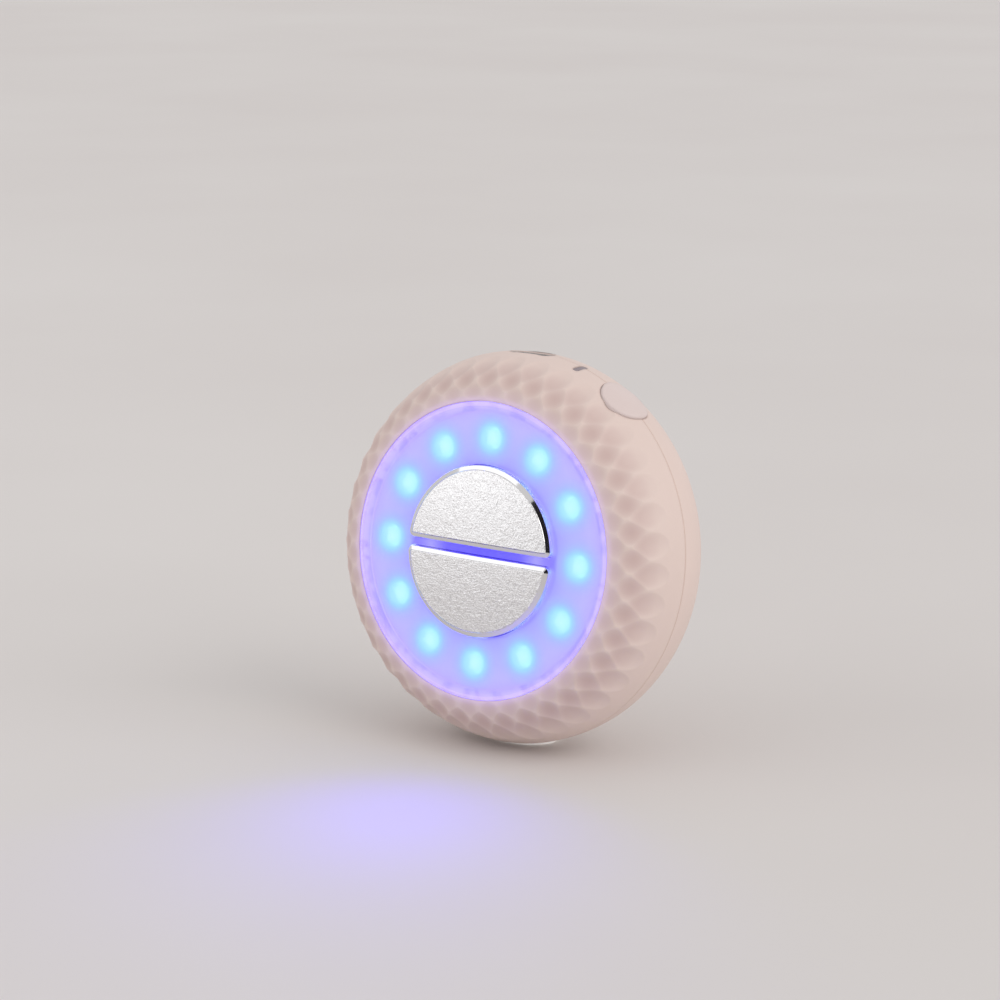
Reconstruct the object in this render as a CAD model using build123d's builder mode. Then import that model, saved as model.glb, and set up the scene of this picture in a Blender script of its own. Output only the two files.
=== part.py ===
from build123d import *
import os
from math import atan2, cos, degrees, pi, radians, sin, tan

os.makedirs("parts", exist_ok=True)

# Stance: the round device stands on a small pad under its rim and leans back.
# The origin lies on the pad's sole, straight below the crossing of device axis and seam plane.
# In the device's own frame Z runs out through the lit face, Y runs up and X to the right.
lean = 8.0
pad_proud = 0.45

# Outer form, turned about the device axis, with the seam plane at height 0
rim_radius = 36.0
face_height = 12.0
face_radius = 27.05
rear_depth = 21.8
front_flank = 1.43
front_crown = 2.13
rear_flank = 2.43
rear_crown = 1.95
wall = 2.0
seam_chamfer = 0.12
profile_shares = [0.0, 0.2, 0.4, 0.6, 0.75, 0.87, 0.95, 0.99, 1.0]

# Gem cuts round the face: three staggered rows of shallow scoops
cut_count = 40
inner_row_back = 0.3
middle_row_back = 1.8
outer_row_back = 4.5
inner_cut_depth = 0.28
middle_cut_depth = 0.46
outer_cut_depth = 0.45
cut_fill = 0.93
cut_length = 12.0
cut_margin = 1.12

# Seam between the shells
tongue_thickness = 0.95
tongue_length = 2.0
tongue_clearance = 0.05
seam_land = 1.0
seal_thickness = 0.3

# Lit face
lens_thickness = 1.6
lens_clearance = 0.06
lens_edge_round = 0.25
gasket_thickness = 0.3
ledge_width = 1.85
ledge_thickness = 1.5
led_ring_inset = 6.55
led_count = 12
led_size = 2.8
led_height = 1.1
led_dome_radius = 1.15
led_dome_height = 0.2
pocket_radius = 2.1
reflector_gap = 0.2
reflector_clearance = 0.2
face_board_thickness = 1.2
face_board_clearance = 0.9

# Electrodes
electrode_radius = 15.5
electrode_gap = 1.75
electrode_proud = 1.45
electrode_sag = 0.6
electrode_wall = 0.8
electrode_bevel_width = 0.9
electrode_bevel_depth = 0.35
electrode_corner = 1.0
electrode_clearance = 0.25
stud_radius = 1.6
stud_clearance = 0.2
stud_spread = 14.0
stud_height = 7.5

# Screws
screw_radius = 0.75
screw_head_radius = 1.4
screw_head_height = 0.9
screw_drive_radius = 0.5
screw_drive_depth = 0.5
pilot_clearance = 0.05
face_screw_inset = 1.4
face_screw_count = 4
electrode_screw_length = 3.4
frame_screw_length = 6.0
board_screw_length = 4.0
screw_tip_gap = 0.3

# Boards behind the face
main_board_clearance = 0.3
main_board_thickness = 1.2
main_board_tongue_width = 11.0
main_board_tongue_clearance = 2.0
board_screw_inset = 4.8
board_screw_angles = [39.0, 141.0, 219.0, 321.0]
header_width = 10.2
header_depth = 2.5
header_up = 17.0

chips = [
    ((0, 4), (5, 5), 0.9),
    ((0, -4), (4, 5), 1.4),
    ((-16, 3), (3, 3), 1.0),
    ((16, 4), (3, 2), 1.0),
]
coil_place = (-13.0, -4.0)
coil_size = 6.0
coil_height = 2.8
coil_base = 0.6
transformer_place = (14.0, -4.0)
transformer_width = 8.0
transformer_depth = 7.0
transformer_height = 3.2
transformer_waist = 1.0

# Chassis
chassis_front = 2.2
chassis_thickness = 1.6
standoff_radius = 1.8
ear_radius = 3.0
ear_reach = 2.5
ear_angles = [-90.0, 30.0, 150.0]
tray_wall = 1.0
tray_height = 3.0
seat_clearance = 0.25

# Power button, on the seam
button_angle = 35.0
button_radius = 4.75
button_proud = 0.35
button_edge = 0.15
button_clearance = 0.06
button_travel = 0.4
button_flange_radius = 5.5
button_flange_thickness = 0.8
button_seat_gap = 0.4
button_rest_gap = 0.05
button_stem_radius = 1.5
button_stem_length = 3.75
flange_clearance = 0.3

# Side board with the switch
side_wall_thickness = 1.2
side_board_thickness = 1.0
side_board_short = 4.5
side_board_long = 10.8
side_board_low = 3.2
side_board_high = 3.8
side_wall_top = 1.2
switch_size = 4.5
switch_height = 1.5
plunger_radius = 1.0
plunger_clearance = 0.05
plunger_proud = 1.0
plunger_bottom_gap = 0.1
peg_radius = 0.7
peg_clearance = 0.05
peg_length = 1.4
peg_short = 3.4
peg_long = 5.0
peg_back = 1.2
pin_size = 0.5
pin_pitch = 1.6
pin_count = 4
pin_length = 4.0

# Indicator light beside the button
indicator_angle = 17.9
indicator_forward = 0.75
indicator_length = 3.5
indicator_width = 1.15
indicator_recess = 0.12
indicator_clearance = 0.1
indicator_flange_gap = 0.9
indicator_flange_thickness = 0.8
indicator_flange_margin = 0.6
pipe_radius = 0.8
pipe_gap = 0.28
side_led_length = 1.6
side_led_width = 0.8
side_led_height = 0.6

# Charging socket at the top of the rim
socket_width = 8.94
socket_height = 3.26
socket_length = 7.35
socket_wall = 0.3
socket_clearance = 0.15
socket_floor_gap = 0.15
port_recess_width = 11.2
port_recess_height = 6.0
port_recess_depth = 0.3
tongue_plate_width = 6.7
tongue_plate_thickness = 0.7
tongue_plate_reach = 5.2
socket_back_thickness = 1.2

# Battery behind the chassis
battery_width = 34.0
battery_height = 24.0
battery_thickness = 6.5
battery_up = -6.0
battery_round = 1.2
foam_thickness = 0.8
foam_margin = 2.0

# Vibration motor behind the chassis
motor_radius = 4.0
motor_length = 12.0
motor_up = 14.0
motor_left = -9.0
motor_boss_radius = 1.6
motor_boss_length = 0.8
motor_mount_length = 9.0
motor_mount_wall = 1.2
motor_mount_clearance = 0.03
shaft_radius = 0.5
shaft_clearance = 0.05
shaft_inside = 8.0
shaft_outside = 5.4
weight_radius = 3.6
weight_length = 4.0
weight_gap = 0.8
weight_hub_radius = 1.3
weight_fit = 0.01

# Inner leads
lead_radius = 0.5
lead_bend = 1.2
lead_pitch = 1.6
lead_slot_margin = 0.6
battery_lead_right = 12.0
battery_lead_reach = 2.4
motor_lead_reach = 3.2

# Stand pad
pad_half_width = 7.6
pad_half_length = 4.9
pad_back = 1.3
pad_thickness = 1.2
pad_clearance = 0.05
pad_edge = 0.3


def front_radius(height):
    share = min(abs(height) / face_height, 1.0)
    return face_radius + (rim_radius - face_radius) * (1 - share**front_flank) ** (1 / front_crown)


def rear_radius(depth, radius, full_depth):
    share = min(abs(depth) / full_depth, 1.0)
    return radius * (1 - share**rear_flank) ** (1 / rear_crown)


# The height of the device axis follows from the lowest point of the leaning form
lean_steps = 400
lean_depths = [rear_depth * step / lean_steps for step in range(lean_steps // 2)]
lean_reach = max(
    rear_radius(depth, rim_radius, rear_depth) * cos(radians(lean)) + depth * sin(radians(lean))
    for depth in lean_depths
)
axis_height = lean_reach + pad_proud

# Planes of the device's own frame, where heights are measured from the seam towards the face
front_way = Vector(0, -cos(radians(lean)), sin(radians(lean)))
up_way = Vector(0, sin(radians(lean)), cos(radians(lean)))
right_way = Vector(1, 0, 0)
device = Plane(origin=(0, 0, axis_height), x_dir=right_way, z_dir=front_way)
meridian = Plane(origin=device.origin, x_dir=right_way, z_dir=-up_way)
device_axis = Axis(device.origin, front_way)


def level(height):
    return device.offset(height)


def rim_plane(angle, radius, forward=0.0):
    outward = right_way * sin(radians(angle)) + up_way * cos(radians(angle))
    origin = device.origin + outward * radius + front_way * forward
    return Plane(origin=origin, x_dir=front_way.cross(outward), z_dir=outward)


def front_points(low, high, inset=0.0):
    shares = [low + (high - low) * share for share in profile_shares]
    return [(front_radius(height) - inset, height) for height in shares]


def rear_points(depth_from, radius, full_depth):
    depths = [depth_from + (full_depth - depth_from) * share for share in profile_shares]
    return [(rear_radius(depth, radius, full_depth), -depth) for depth in depths]


# The whole outer form as one face, grown outwards by a little
def turned_form(grow):
    back_points = [(radius + grow, height) for radius, height in rear_points(0, rim_radius, rear_depth)]
    back_points[-1] = (0, -rear_depth - grow)
    face_points = [(radius + grow, height) for radius, height in front_points(0, face_height)]
    with BuildLine() as border:
        side = Spline(*back_points[::-1], *face_points[1:], tangents=((1, 0), (-1, 0)))
        Polyline(side @ 1, (0, face_height), side @ 0)
    make_face(border.edges())


# A plane square to the right-hand direction: its X runs up and its Y towards the face
def cross_plane(right):
    return Plane(origin=device.origin + right_way * right, x_dir=up_way, z_dir=right_way)


# Heights of the stack behind the lit face
lens_back = face_height - lens_thickness
ledge_front = lens_back - gasket_thickness
ledge_back = ledge_front - ledge_thickness
ledge_radius = face_radius - ledge_width
face_board_radius = front_radius(ledge_back) - wall - face_board_clearance
face_screw_length = face_board_thickness + ledge_thickness - screw_tip_gap
face_screw_circle = face_board_radius - face_screw_inset
led_ring_radius = face_radius - led_ring_inset
face_board_back = ledge_back - face_board_thickness
reflector_front = lens_back - reflector_gap
electrode_front = face_height + electrode_proud
electrode_ceiling = electrode_front - electrode_sag - electrode_wall
electrode_bend = (electrode_radius**2 + electrode_sag**2) / (2 * electrode_sag)
main_board_back = socket_height / 2
main_board_front = main_board_back + main_board_thickness
chassis_back = -chassis_front - chassis_thickness
foam_back = chassis_back - foam_thickness
motor_axis_height = chassis_back - motor_mount_wall - motor_radius
port_floor = rim_radius - port_recess_depth
socket_mouth = port_floor - socket_floor_gap
tongue_outer = rim_radius - seam_land
cavity_radius = rim_radius - wall
cavity_depth = rear_depth - wall
pilot_radius = screw_radius + pilot_clearance

# Distances from the device axis, from the rim inwards through button, switch, side board and boards
button_seat = cavity_radius - button_seat_gap
button_flange_top = button_seat - button_rest_gap
flange_back = button_flange_top - button_flange_thickness
plunger_top = flange_back - button_stem_length
side_board_outer = plunger_top - plunger_proud - switch_height
side_board_inner = side_board_outer - side_board_thickness
side_wall_inner = side_board_inner - side_wall_thickness
main_board_radius = side_wall_inner - main_board_clearance
main_board_tongue_reach = cavity_radius - main_board_tongue_clearance
board_screw_circle = main_board_radius - board_screw_inset
ear_circle = main_board_radius + ear_reach
indicator_flange_radius = cavity_radius - indicator_flange_gap
indicator_turn = radians(button_angle - indicator_angle)
side_led_top = side_board_outer + side_led_height
pipe_inner_end = (side_led_top + pipe_gap + pipe_radius * sin(indicator_turn)) / cos(indicator_turn)


# Screw places in the device's own frame: right and up
def on_circle(circle, angles):
    return [(circle * cos(radians(angle)), circle * sin(radians(angle))) for angle in angles]


def stud_points(side):
    return [(-stud_spread / 2, side * stud_height), (stud_spread / 2, side * stud_height)]


face_screw_angles = [(turn + 0.5) * 360 / face_screw_count for turn in range(face_screw_count)]
face_screw_points = on_circle(face_screw_circle, face_screw_angles)
frame_screw_points = on_circle(ear_circle, ear_angles)
board_screw_points = on_circle(board_screw_circle, board_screw_angles)


# Half the span over which a cut measures the slope of the form
slope_step = 0.05


# One row of cuts: a shallow scoop laid along the slope of the form, round a long soft radius
def gem_cut(height, depth):
    slope = (front_radius(height + slope_step) - front_radius(height - slope_step)) / (2 * slope_step)
    tilt = degrees(atan2(-slope, 1.0))
    radius = front_radius(height)
    half = radius * sin(pi / cut_count) * cut_fill
    bend = 2 * depth / half**2 - cos(radians(tilt)) / radius
    reach = half * cut_margin
    rise = reach**2 * bend / 2
    normal = Vector(cos(radians(tilt)), 0, sin(radians(tilt)))
    along = Vector(-sin(radians(tilt)), 0, cos(radians(tilt)))
    plane = Plane(origin=Vector(radius, 0, height), x_dir=(0, 1, 0), z_dir=along)
    lift = 1 if plane.y_dir.dot(normal) > 0 else -1
    with BuildPart() as scoop:
        with BuildSketch(plane):
            with BuildLine():
                ThreePointArc(
                    (-reach, lift * (rise - depth)), (0, -lift * depth), (reach, lift * (rise - depth))
                )
                Polyline(
                    (-reach, lift * (rise - depth)), (-reach, lift * wall), (reach, lift * wall),
                    (reach, lift * (rise - depth)),
                )
            make_face()
        extrude(amount=cut_length / 2, both=True)
    return scoop.part


def screw_set(points, head_plane, shank_length):
    with BuildPart(head_plane) as screws:
        with Locations(*points):
            Cylinder(screw_head_radius, screw_head_height, align=(Align.CENTER, Align.CENTER, Align.MIN))
            Cylinder(screw_radius, shank_length, align=(Align.CENTER, Align.CENTER, Align.MAX))
            with Locations((0, 0, screw_head_height)):
                Cylinder(
                    screw_drive_radius, screw_drive_depth,
                    align=(Align.CENTER, Align.CENTER, Align.MAX), mode=Mode.SUBTRACT,
                )
    return screws.part


# What the rim lets through: the button with room for its flange, the indicator and the charging port
with BuildPart() as rim_openings:
    with BuildSketch(rim_plane(button_angle, cavity_radius - wall)):
        Circle(button_radius + button_clearance)
    extrude(amount=3 * wall)
    with BuildSketch(rim_plane(button_angle, button_seat)):
        Circle(button_flange_radius + flange_clearance)
    extrude(amount=-2 * wall)
    with BuildSketch(rim_plane(indicator_angle, cavity_radius - wall, indicator_forward)):
        SlotOverall(
            indicator_length + 2 * indicator_clearance, indicator_width + 2 * indicator_clearance, rotation=90
        )
    extrude(amount=3 * wall)
    with BuildSketch(rim_plane(0, port_floor)):
        SlotOverall(port_recess_width, port_recess_height)
    extrude(amount=2 * wall)
    with BuildSketch(rim_plane(0, cavity_radius - wall)):
        SlotOverall(socket_width + 2 * socket_clearance, socket_height + 2 * socket_clearance)
    extrude(amount=3 * wall)

# Front shell: faceted ring that carries the lens on an inner ledge
with BuildPart() as front_shell:
    with BuildSketch(meridian):
        with BuildLine():
            outer_low = front_points(seam_chamfer, face_height)
            outer_edge = Spline(*outer_low, tangents=((0, 1), (-1, 0)))
            inner_edge = Spline(*front_points(0, ledge_back, wall)[::-1])
            Polyline(outer_edge @ 1, (face_radius, ledge_front), (ledge_radius, ledge_front),
                     (ledge_radius, ledge_back), inner_edge @ 0)
            Polyline(
                inner_edge @ 1, (cavity_radius, -tongue_length),
                (cavity_radius + tongue_thickness, -tongue_length),
                (cavity_radius + tongue_thickness, 0), (rim_radius - seam_chamfer, 0), outer_edge @ 0,
            )
        make_face()
    revolve(axis=device_axis)
    turn = 360 / cut_count
    inner_cut = gem_cut(face_height - inner_row_back, inner_cut_depth)
    middle_cut = gem_cut(face_height - middle_row_back, middle_cut_depth)
    outer_cut = gem_cut(face_height - outer_row_back, outer_cut_depth)
    for cut, start in ((outer_cut, 90), (middle_cut, 90 + turn / 2), (inner_cut, 90)):
        with Locations(device.location):
            with PolarLocations(0, cut_count, start_angle=start):
                add(cut, mode=Mode.SUBTRACT)
    with BuildSketch(level(ledge_back)):
        with Locations(*face_screw_points):
            Circle(pilot_radius)
    extrude(amount=face_screw_length - face_board_thickness + screw_tip_gap, mode=Mode.SUBTRACT)
    add(rim_openings.part, mode=Mode.SUBTRACT)
front_shell.part.label = "front_shell"
export_step(front_shell.part, "parts/front_shell.step")

# Posts inside the rear shell are what the cavity leaves standing
with BuildPart() as rear_cavity:
    with BuildSketch(meridian):
        with BuildLine():
            step_back = -tongue_length - seal_thickness
            cavity_edge = Spline(
                *rear_points(-step_back, cavity_radius, cavity_depth), tangents=((0, -1), (-1, 0))
            )
            Polyline(
                cavity_edge @ 0, (tongue_outer, step_back), (tongue_outer, wall), (0, wall), cavity_edge @ 1
            )
        make_face()
    revolve(axis=device_axis)
    with BuildSketch(level(chassis_back)):
        with Locations(*frame_screw_points):
            Circle(ear_radius)
    extrude(amount=-rear_depth, mode=Mode.SUBTRACT)

# Rear shell: plain dome with a flat bearing for the stand pad
with BuildPart() as rear_shell:
    with BuildSketch(meridian):
        with BuildLine():
            dome_edge = Spline(
                *rear_points(seam_chamfer, rim_radius, rear_depth), tangents=((0, -1), (-1, 0))
            )
            Polyline(dome_edge @ 0, (rim_radius - seam_chamfer, 0), (0, 0), dome_edge @ 1)
        make_face()
    revolve(axis=device_axis)
    with BuildSketch(Plane.XY.offset(pad_thickness)):
        with Locations((0, pad_back)):
            Ellipse(pad_half_width, pad_half_length)
    extrude(amount=wall)
    add(rear_cavity.part, mode=Mode.SUBTRACT)
    with BuildSketch(level(chassis_back)):
        with Locations(*frame_screw_points):
            Circle(pilot_radius)
    extrude(amount=-(frame_screw_length - chassis_thickness + screw_tip_gap), mode=Mode.SUBTRACT)
    add(rim_openings.part, mode=Mode.SUBTRACT)
    with BuildSketch(Plane.XY):
        with Locations((0, pad_back)):
            Ellipse(pad_half_width + pad_clearance, pad_half_length + pad_clearance)
    extrude(amount=pad_thickness, mode=Mode.SUBTRACT)
rear_shell.part.label = "rear_shell"
export_step(rear_shell.part, "parts/rear_shell.step")

# Seal ring between the front shell's tongue and the step of the rear shell
with BuildPart() as seam_seal:
    with BuildSketch(level(-tongue_length)):
        Circle(cavity_radius + tongue_thickness - tongue_clearance)
        Circle(cavity_radius + 2 * tongue_clearance, mode=Mode.SUBTRACT)
    extrude(amount=-seal_thickness)
    add(rim_openings.part, mode=Mode.SUBTRACT)
seam_seal.part.label = "seam_seal"
export_step(seam_seal.part, "parts/seam_seal.step")


# The outline of one electrode: half a disc above the slot, or below it
def electrode_outline(side, grow=0.0):
    Circle(electrode_radius + grow)
    with Locations((0, side * (electrode_gap / 2 - grow))):
        Rectangle(
            3 * electrode_radius, 3 * electrode_radius,
            align=(Align.CENTER, Align.MAX if side > 0 else Align.MIN), mode=Mode.SUBTRACT,
        )


def electrode(side):
    with BuildPart() as half_disc:
        with BuildSketch(level(reflector_front)):
            electrode_outline(side)
            fillet(vertices(), electrode_corner)
        extrude(amount=electrode_front - reflector_front)
        with Locations(level(electrode_front - electrode_bend).location):
            Sphere(electrode_bend, mode=Mode.INTERSECT)
        dome = faces().sort_by(device_axis)[-1]
        chamfer(dome.edges(), electrode_bevel_width, electrode_bevel_depth, reference=dome)
        with BuildSketch(level(reflector_front)):
            electrode_outline(side, -electrode_wall)
        extrude(amount=electrode_ceiling - reflector_front, mode=Mode.SUBTRACT)
        with BuildSketch(level(ledge_back)):
            with Locations(*stud_points(side)):
                Circle(stud_radius)
        extrude(amount=electrode_ceiling - ledge_back)
        with BuildSketch(level(ledge_back)):
            with Locations(*stud_points(side)):
                Circle(pilot_radius)
        extrude(amount=electrode_screw_length - face_board_thickness + screw_tip_gap, mode=Mode.SUBTRACT)
    return half_disc.part


upper_electrode = electrode(1)
upper_electrode.label = "upper_electrode"
export_step(upper_electrode, "parts/upper_electrode.step")

lower_electrode = electrode(-1)
lower_electrode.label = "lower_electrode"
export_step(lower_electrode, "parts/lower_electrode.step")

# Translucent lens with a bar between the two electrode openings
with BuildPart() as face_lens:
    with BuildSketch(level(lens_back)):
        Circle(face_radius - lens_clearance)
    extrude(amount=lens_thickness)
    fillet(faces().sort_by(device_axis)[-1].edges(), lens_edge_round)
    for side in (1, -1):
        with BuildSketch(level(lens_back)):
            electrode_outline(side, electrode_clearance)
            fillet(vertices(), electrode_corner + electrode_clearance)
        extrude(amount=lens_thickness, mode=Mode.SUBTRACT)
face_lens.part.label = "face_lens"
export_step(face_lens.part, "parts/face_lens.step")

# Adhesive gasket between the lens and the ledge
with BuildPart() as lens_gasket:
    with BuildSketch(level(ledge_front)):
        Circle(face_radius - 2 * lens_clearance)
        Circle(ledge_radius + lens_clearance, mode=Mode.SUBTRACT)
    extrude(amount=gasket_thickness)
lens_gasket.part.label = "lens_gasket"
export_step(lens_gasket.part, "parts/lens_gasket.step")

# White reflector with one open pocket for each lamp and a hole for each electrode stud
with BuildPart() as light_reflector:
    with BuildSketch(level(ledge_back)):
        Circle(ledge_radius - reflector_clearance)
        with PolarLocations(led_ring_radius, led_count, start_angle=90):
            Circle(pocket_radius, mode=Mode.SUBTRACT)
        for side in (1, -1):
            with Locations(*stud_points(side)):
                Circle(stud_radius + stud_clearance, mode=Mode.SUBTRACT)
    extrude(amount=reflector_front - ledge_back)
light_reflector.part.label = "light_reflector"
export_step(light_reflector.part, "parts/light_reflector.step")

# Round lamp board, screwed to the back of the ledge
with BuildPart() as led_board:
    with BuildSketch(level(face_board_back)):
        Circle(face_board_radius)
        with Locations(*face_screw_points):
            Circle(pilot_radius, mode=Mode.SUBTRACT)
        for side in (1, -1):
            with Locations(*stud_points(side)):
                Circle(pilot_radius, mode=Mode.SUBTRACT)
    extrude(amount=face_board_thickness)
led_board.part.label = "led_board"
export_step(led_board.part, "parts/led_board.step")

# Twelve lamps, each a square package with a low dome
with BuildPart() as led_chips:
    with BuildSketch(level(ledge_back)):
        with PolarLocations(led_ring_radius, led_count, start_angle=90):
            Rectangle(led_size, led_size)
    extrude(amount=led_height)
    with BuildSketch(level(ledge_back + led_height)):
        with PolarLocations(led_ring_radius, led_count, start_angle=90):
            Circle(led_dome_radius)
    extrude(amount=led_dome_height)
led_chips.part.label = "led_chips"
export_step(led_chips.part, "parts/led_chips.step")

# Screws seen from behind: their heads point away from the face
behind_face_board = Plane(
    origin=level(face_board_back).origin, x_dir=right_way, z_dir=-front_way
)
face_screws = screw_set(face_screw_points, behind_face_board, face_screw_length)
face_screws.label = "face_screws"
export_step(face_screws, "parts/face_screws.step")

electrode_screws = screw_set(stud_points(1) + stud_points(-1), behind_face_board, electrode_screw_length)
electrode_screws.label = "electrode_screws"
export_step(electrode_screws, "parts/electrode_screws.step")

# Main board: round, with a tongue that carries the charging socket
with BuildPart() as main_board:
    with BuildSketch(level(main_board_back)):
        Circle(main_board_radius)
        with Locations((0, main_board_tongue_reach)):
            Rectangle(
                main_board_tongue_width, main_board_radius, align=(Align.CENTER, Align.MAX)
            )
        with Locations(*board_screw_points):
            Circle(pilot_radius, mode=Mode.SUBTRACT)
    extrude(amount=main_board_thickness)
main_board.part.label = "main_board"
export_step(main_board.part, "parts/main_board.step")

board_screws = screw_set(board_screw_points, level(main_board_front), board_screw_length)
board_screws.label = "board_screws"
export_step(board_screws, "parts/board_screws.step")

# Parts on the front of the main board: place, size and height of each
with BuildPart() as control_chips:
    for place, footprint, thickness in chips:
        with BuildSketch(level(main_board_front)):
            with Locations(place):
                Rectangle(*footprint)
        extrude(amount=thickness)
control_chips.part.label = "control_chips"
export_step(control_chips.part, "parts/control_chips.step")

# Boost coil: a shielded drum on a square base
with BuildPart() as boost_coil:
    with BuildSketch(level(main_board_front)):
        with Locations(coil_place):
            Rectangle(coil_size, coil_size)
    extrude(amount=coil_base)
    with BuildSketch(level(main_board_front + coil_base)):
        with Locations(coil_place):
            Circle(coil_size / 2)
    extrude(amount=coil_height - coil_base)
boost_coil.part.label = "boost_coil"
export_step(boost_coil.part, "parts/boost_coil.step")

# Pulse transformer that feeds the electrodes
with BuildPart() as pulse_transformer:
    with BuildSketch(level(main_board_front)):
        with Locations(transformer_place):
            Rectangle(transformer_width, transformer_depth)
    extrude(amount=transformer_height)
    with BuildSketch(level(main_board_front + transformer_height / 3)):
        with Locations(transformer_place):
            Rectangle(transformer_width, transformer_depth)
            Rectangle(
                transformer_width - transformer_waist, transformer_depth - transformer_waist,
                mode=Mode.SUBTRACT,
            )
    extrude(amount=transformer_height / 3, mode=Mode.SUBTRACT)
pulse_transformer.part.label = "pulse_transformer"
export_step(pulse_transformer.part, "parts/pulse_transformer.step")

# Header that joins the main board to the lamp board
with BuildPart() as pin_header:
    with BuildSketch(level(main_board_front)):
        with Locations((0, header_up)):
            Rectangle(header_width, header_depth)
    extrude(amount=face_board_back - main_board_front)
pin_header.part.label = "pin_header"
export_step(pin_header.part, "parts/pin_header.step")

# Chassis: plate with ears on the shell posts, standoffs, battery tray, motor seat and side wall
motor_mount_width = 2 * (motor_radius + motor_mount_wall)
motor_centre = motor_left + motor_length / 2
lead_slot_height = 2 * (lead_radius + lead_slot_margin)
battery_top = battery_up + battery_height / 2
battery_lead_up = battery_top + battery_lead_reach
side_board_length = side_board_short + side_board_long
side_board_middle = (side_board_long - side_board_short) / 2
with BuildPart() as chassis:
    with BuildSketch(level(chassis_back)):
        Circle(main_board_radius)
        with Locations(*frame_screw_points):
            Circle(ear_radius)
        with Locations((battery_lead_right, battery_lead_up)):
            SlotCenterToCenter(lead_pitch, lead_slot_height, mode=Mode.SUBTRACT)
        with Locations((motor_left - motor_lead_reach, motor_up)):
            SlotCenterToCenter(lead_pitch, lead_slot_height, rotation=90, mode=Mode.SUBTRACT)
        with Locations(*frame_screw_points):
            Circle(pilot_radius, mode=Mode.SUBTRACT)
    extrude(amount=chassis_thickness)
    with BuildSketch(level(-chassis_front)):
        with Locations(*board_screw_points):
            Circle(standoff_radius)
    extrude(amount=main_board_back + chassis_front)
    with BuildSketch(level(main_board_back)):
        with Locations(*board_screw_points):
            Circle(pilot_radius)
    extrude(amount=-(board_screw_length - main_board_thickness + screw_tip_gap), mode=Mode.SUBTRACT)
    with BuildSketch(level(chassis_back)):
        with Locations((0, battery_up)):
            Rectangle(
                battery_width + 2 * (tray_wall + seat_clearance),
                battery_height + 2 * (tray_wall + seat_clearance),
            )
            Rectangle(
                battery_width + 2 * seat_clearance, battery_height + 2 * seat_clearance, mode=Mode.SUBTRACT
            )
        with Locations((motor_centre, motor_up)):
            Rectangle(motor_mount_length, motor_mount_width + 2 * (tray_wall + seat_clearance))
            Rectangle(motor_mount_length, motor_mount_width + 2 * seat_clearance, mode=Mode.SUBTRACT)
    extrude(amount=-tray_height)
    with BuildSketch(rim_plane(button_angle, side_wall_inner)):
        with Locations((side_board_middle, chassis_back)):
            Rectangle(side_board_length, side_wall_top - chassis_back, align=(Align.CENTER, Align.MIN))
    extrude(amount=side_wall_thickness)
    with BuildSketch(rim_plane(button_angle, side_wall_inner)):
        with Locations((side_board_middle, chassis_back)):
            Rectangle(side_board_length, chassis_thickness, align=(Align.CENTER, Align.MIN))
    extrude(amount=-side_board_length / 3)
    with BuildSketch(rim_plane(button_angle, side_board_inner)):
        with Locations((-peg_short, -peg_back), (peg_long, -peg_back)):
            Circle(peg_radius)
    extrude(amount=peg_length)
chassis.part.label = "chassis"
export_step(chassis.part, "parts/chassis.step")

frame_screws = screw_set(frame_screw_points, level(-chassis_front), frame_screw_length)
frame_screws.label = "frame_screws"
export_step(frame_screws, "parts/frame_screws.step")

# Side board, held on two pegs of the chassis
with BuildPart() as side_board:
    with BuildSketch(rim_plane(button_angle, side_board_inner)):
        with Locations((side_board_middle, (side_board_high - side_board_low) / 2)):
            Rectangle(side_board_length, side_board_high + side_board_low)
        with Locations((-peg_short, -peg_back), (peg_long, -peg_back)):
            Circle(peg_radius + peg_clearance, mode=Mode.SUBTRACT)
    extrude(amount=side_board_thickness)
side_board.part.label = "side_board"
export_step(side_board.part, "parts/side_board.step")

# Straight pins soldered on the main board and butted against the side board
with BuildPart() as side_pins:
    with BuildSketch(rim_plane(button_angle, side_board_inner)):
        with Locations((0, main_board_front + pin_size / 2)):
            with GridLocations(pin_pitch, pin_pitch, pin_count, 1):
                Rectangle(pin_size, pin_size)
    extrude(amount=-pin_length)
side_pins.part.label = "side_pins"
export_step(side_pins.part, "parts/side_pins.step")

# Push switch with its plunger, under the button
with BuildPart() as tact_switch:
    with BuildSketch(rim_plane(button_angle, side_board_outer)):
        Rectangle(switch_size, switch_size)
        Circle(plunger_radius + plunger_clearance, mode=Mode.SUBTRACT)
    extrude(amount=switch_height)
tact_switch.part.label = "tact_switch"
export_step(tact_switch.part, "parts/tact_switch.step")

with BuildPart() as switch_plunger:
    with BuildSketch(rim_plane(button_angle, plunger_top)):
        Circle(plunger_radius)
    extrude(amount=side_board_outer + button_travel + plunger_bottom_gap - plunger_top)
switch_plunger.part.label = "switch_plunger"
export_step(switch_plunger.part, "parts/switch_plunger.step")

# Power button: a round cap that follows the rim, with a flange behind the shells and a stem
with BuildPart() as power_button:
    with BuildSketch(meridian):
        turned_form(button_proud)
    revolve(axis=device_axis)
    with BuildSketch(rim_plane(button_angle, flange_back)):
        Circle(button_radius)
    extrude(amount=2 * wall + button_flange_thickness, mode=Mode.INTERSECT)
    button_axis = Axis(device.origin, rim_plane(button_angle, 1).z_dir)
    fillet(faces().sort_by(button_axis)[-1].edges(), button_edge)
    with BuildSketch(rim_plane(button_angle, flange_back)):
        Circle(button_flange_radius)
    extrude(amount=button_flange_thickness)
    with BuildSketch(rim_plane(button_angle, flange_back)):
        Circle(button_stem_radius)
    extrude(amount=plunger_top - flange_back)
power_button.part.label = "power_button"
export_step(power_button.part, "parts/power_button.step")

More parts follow.
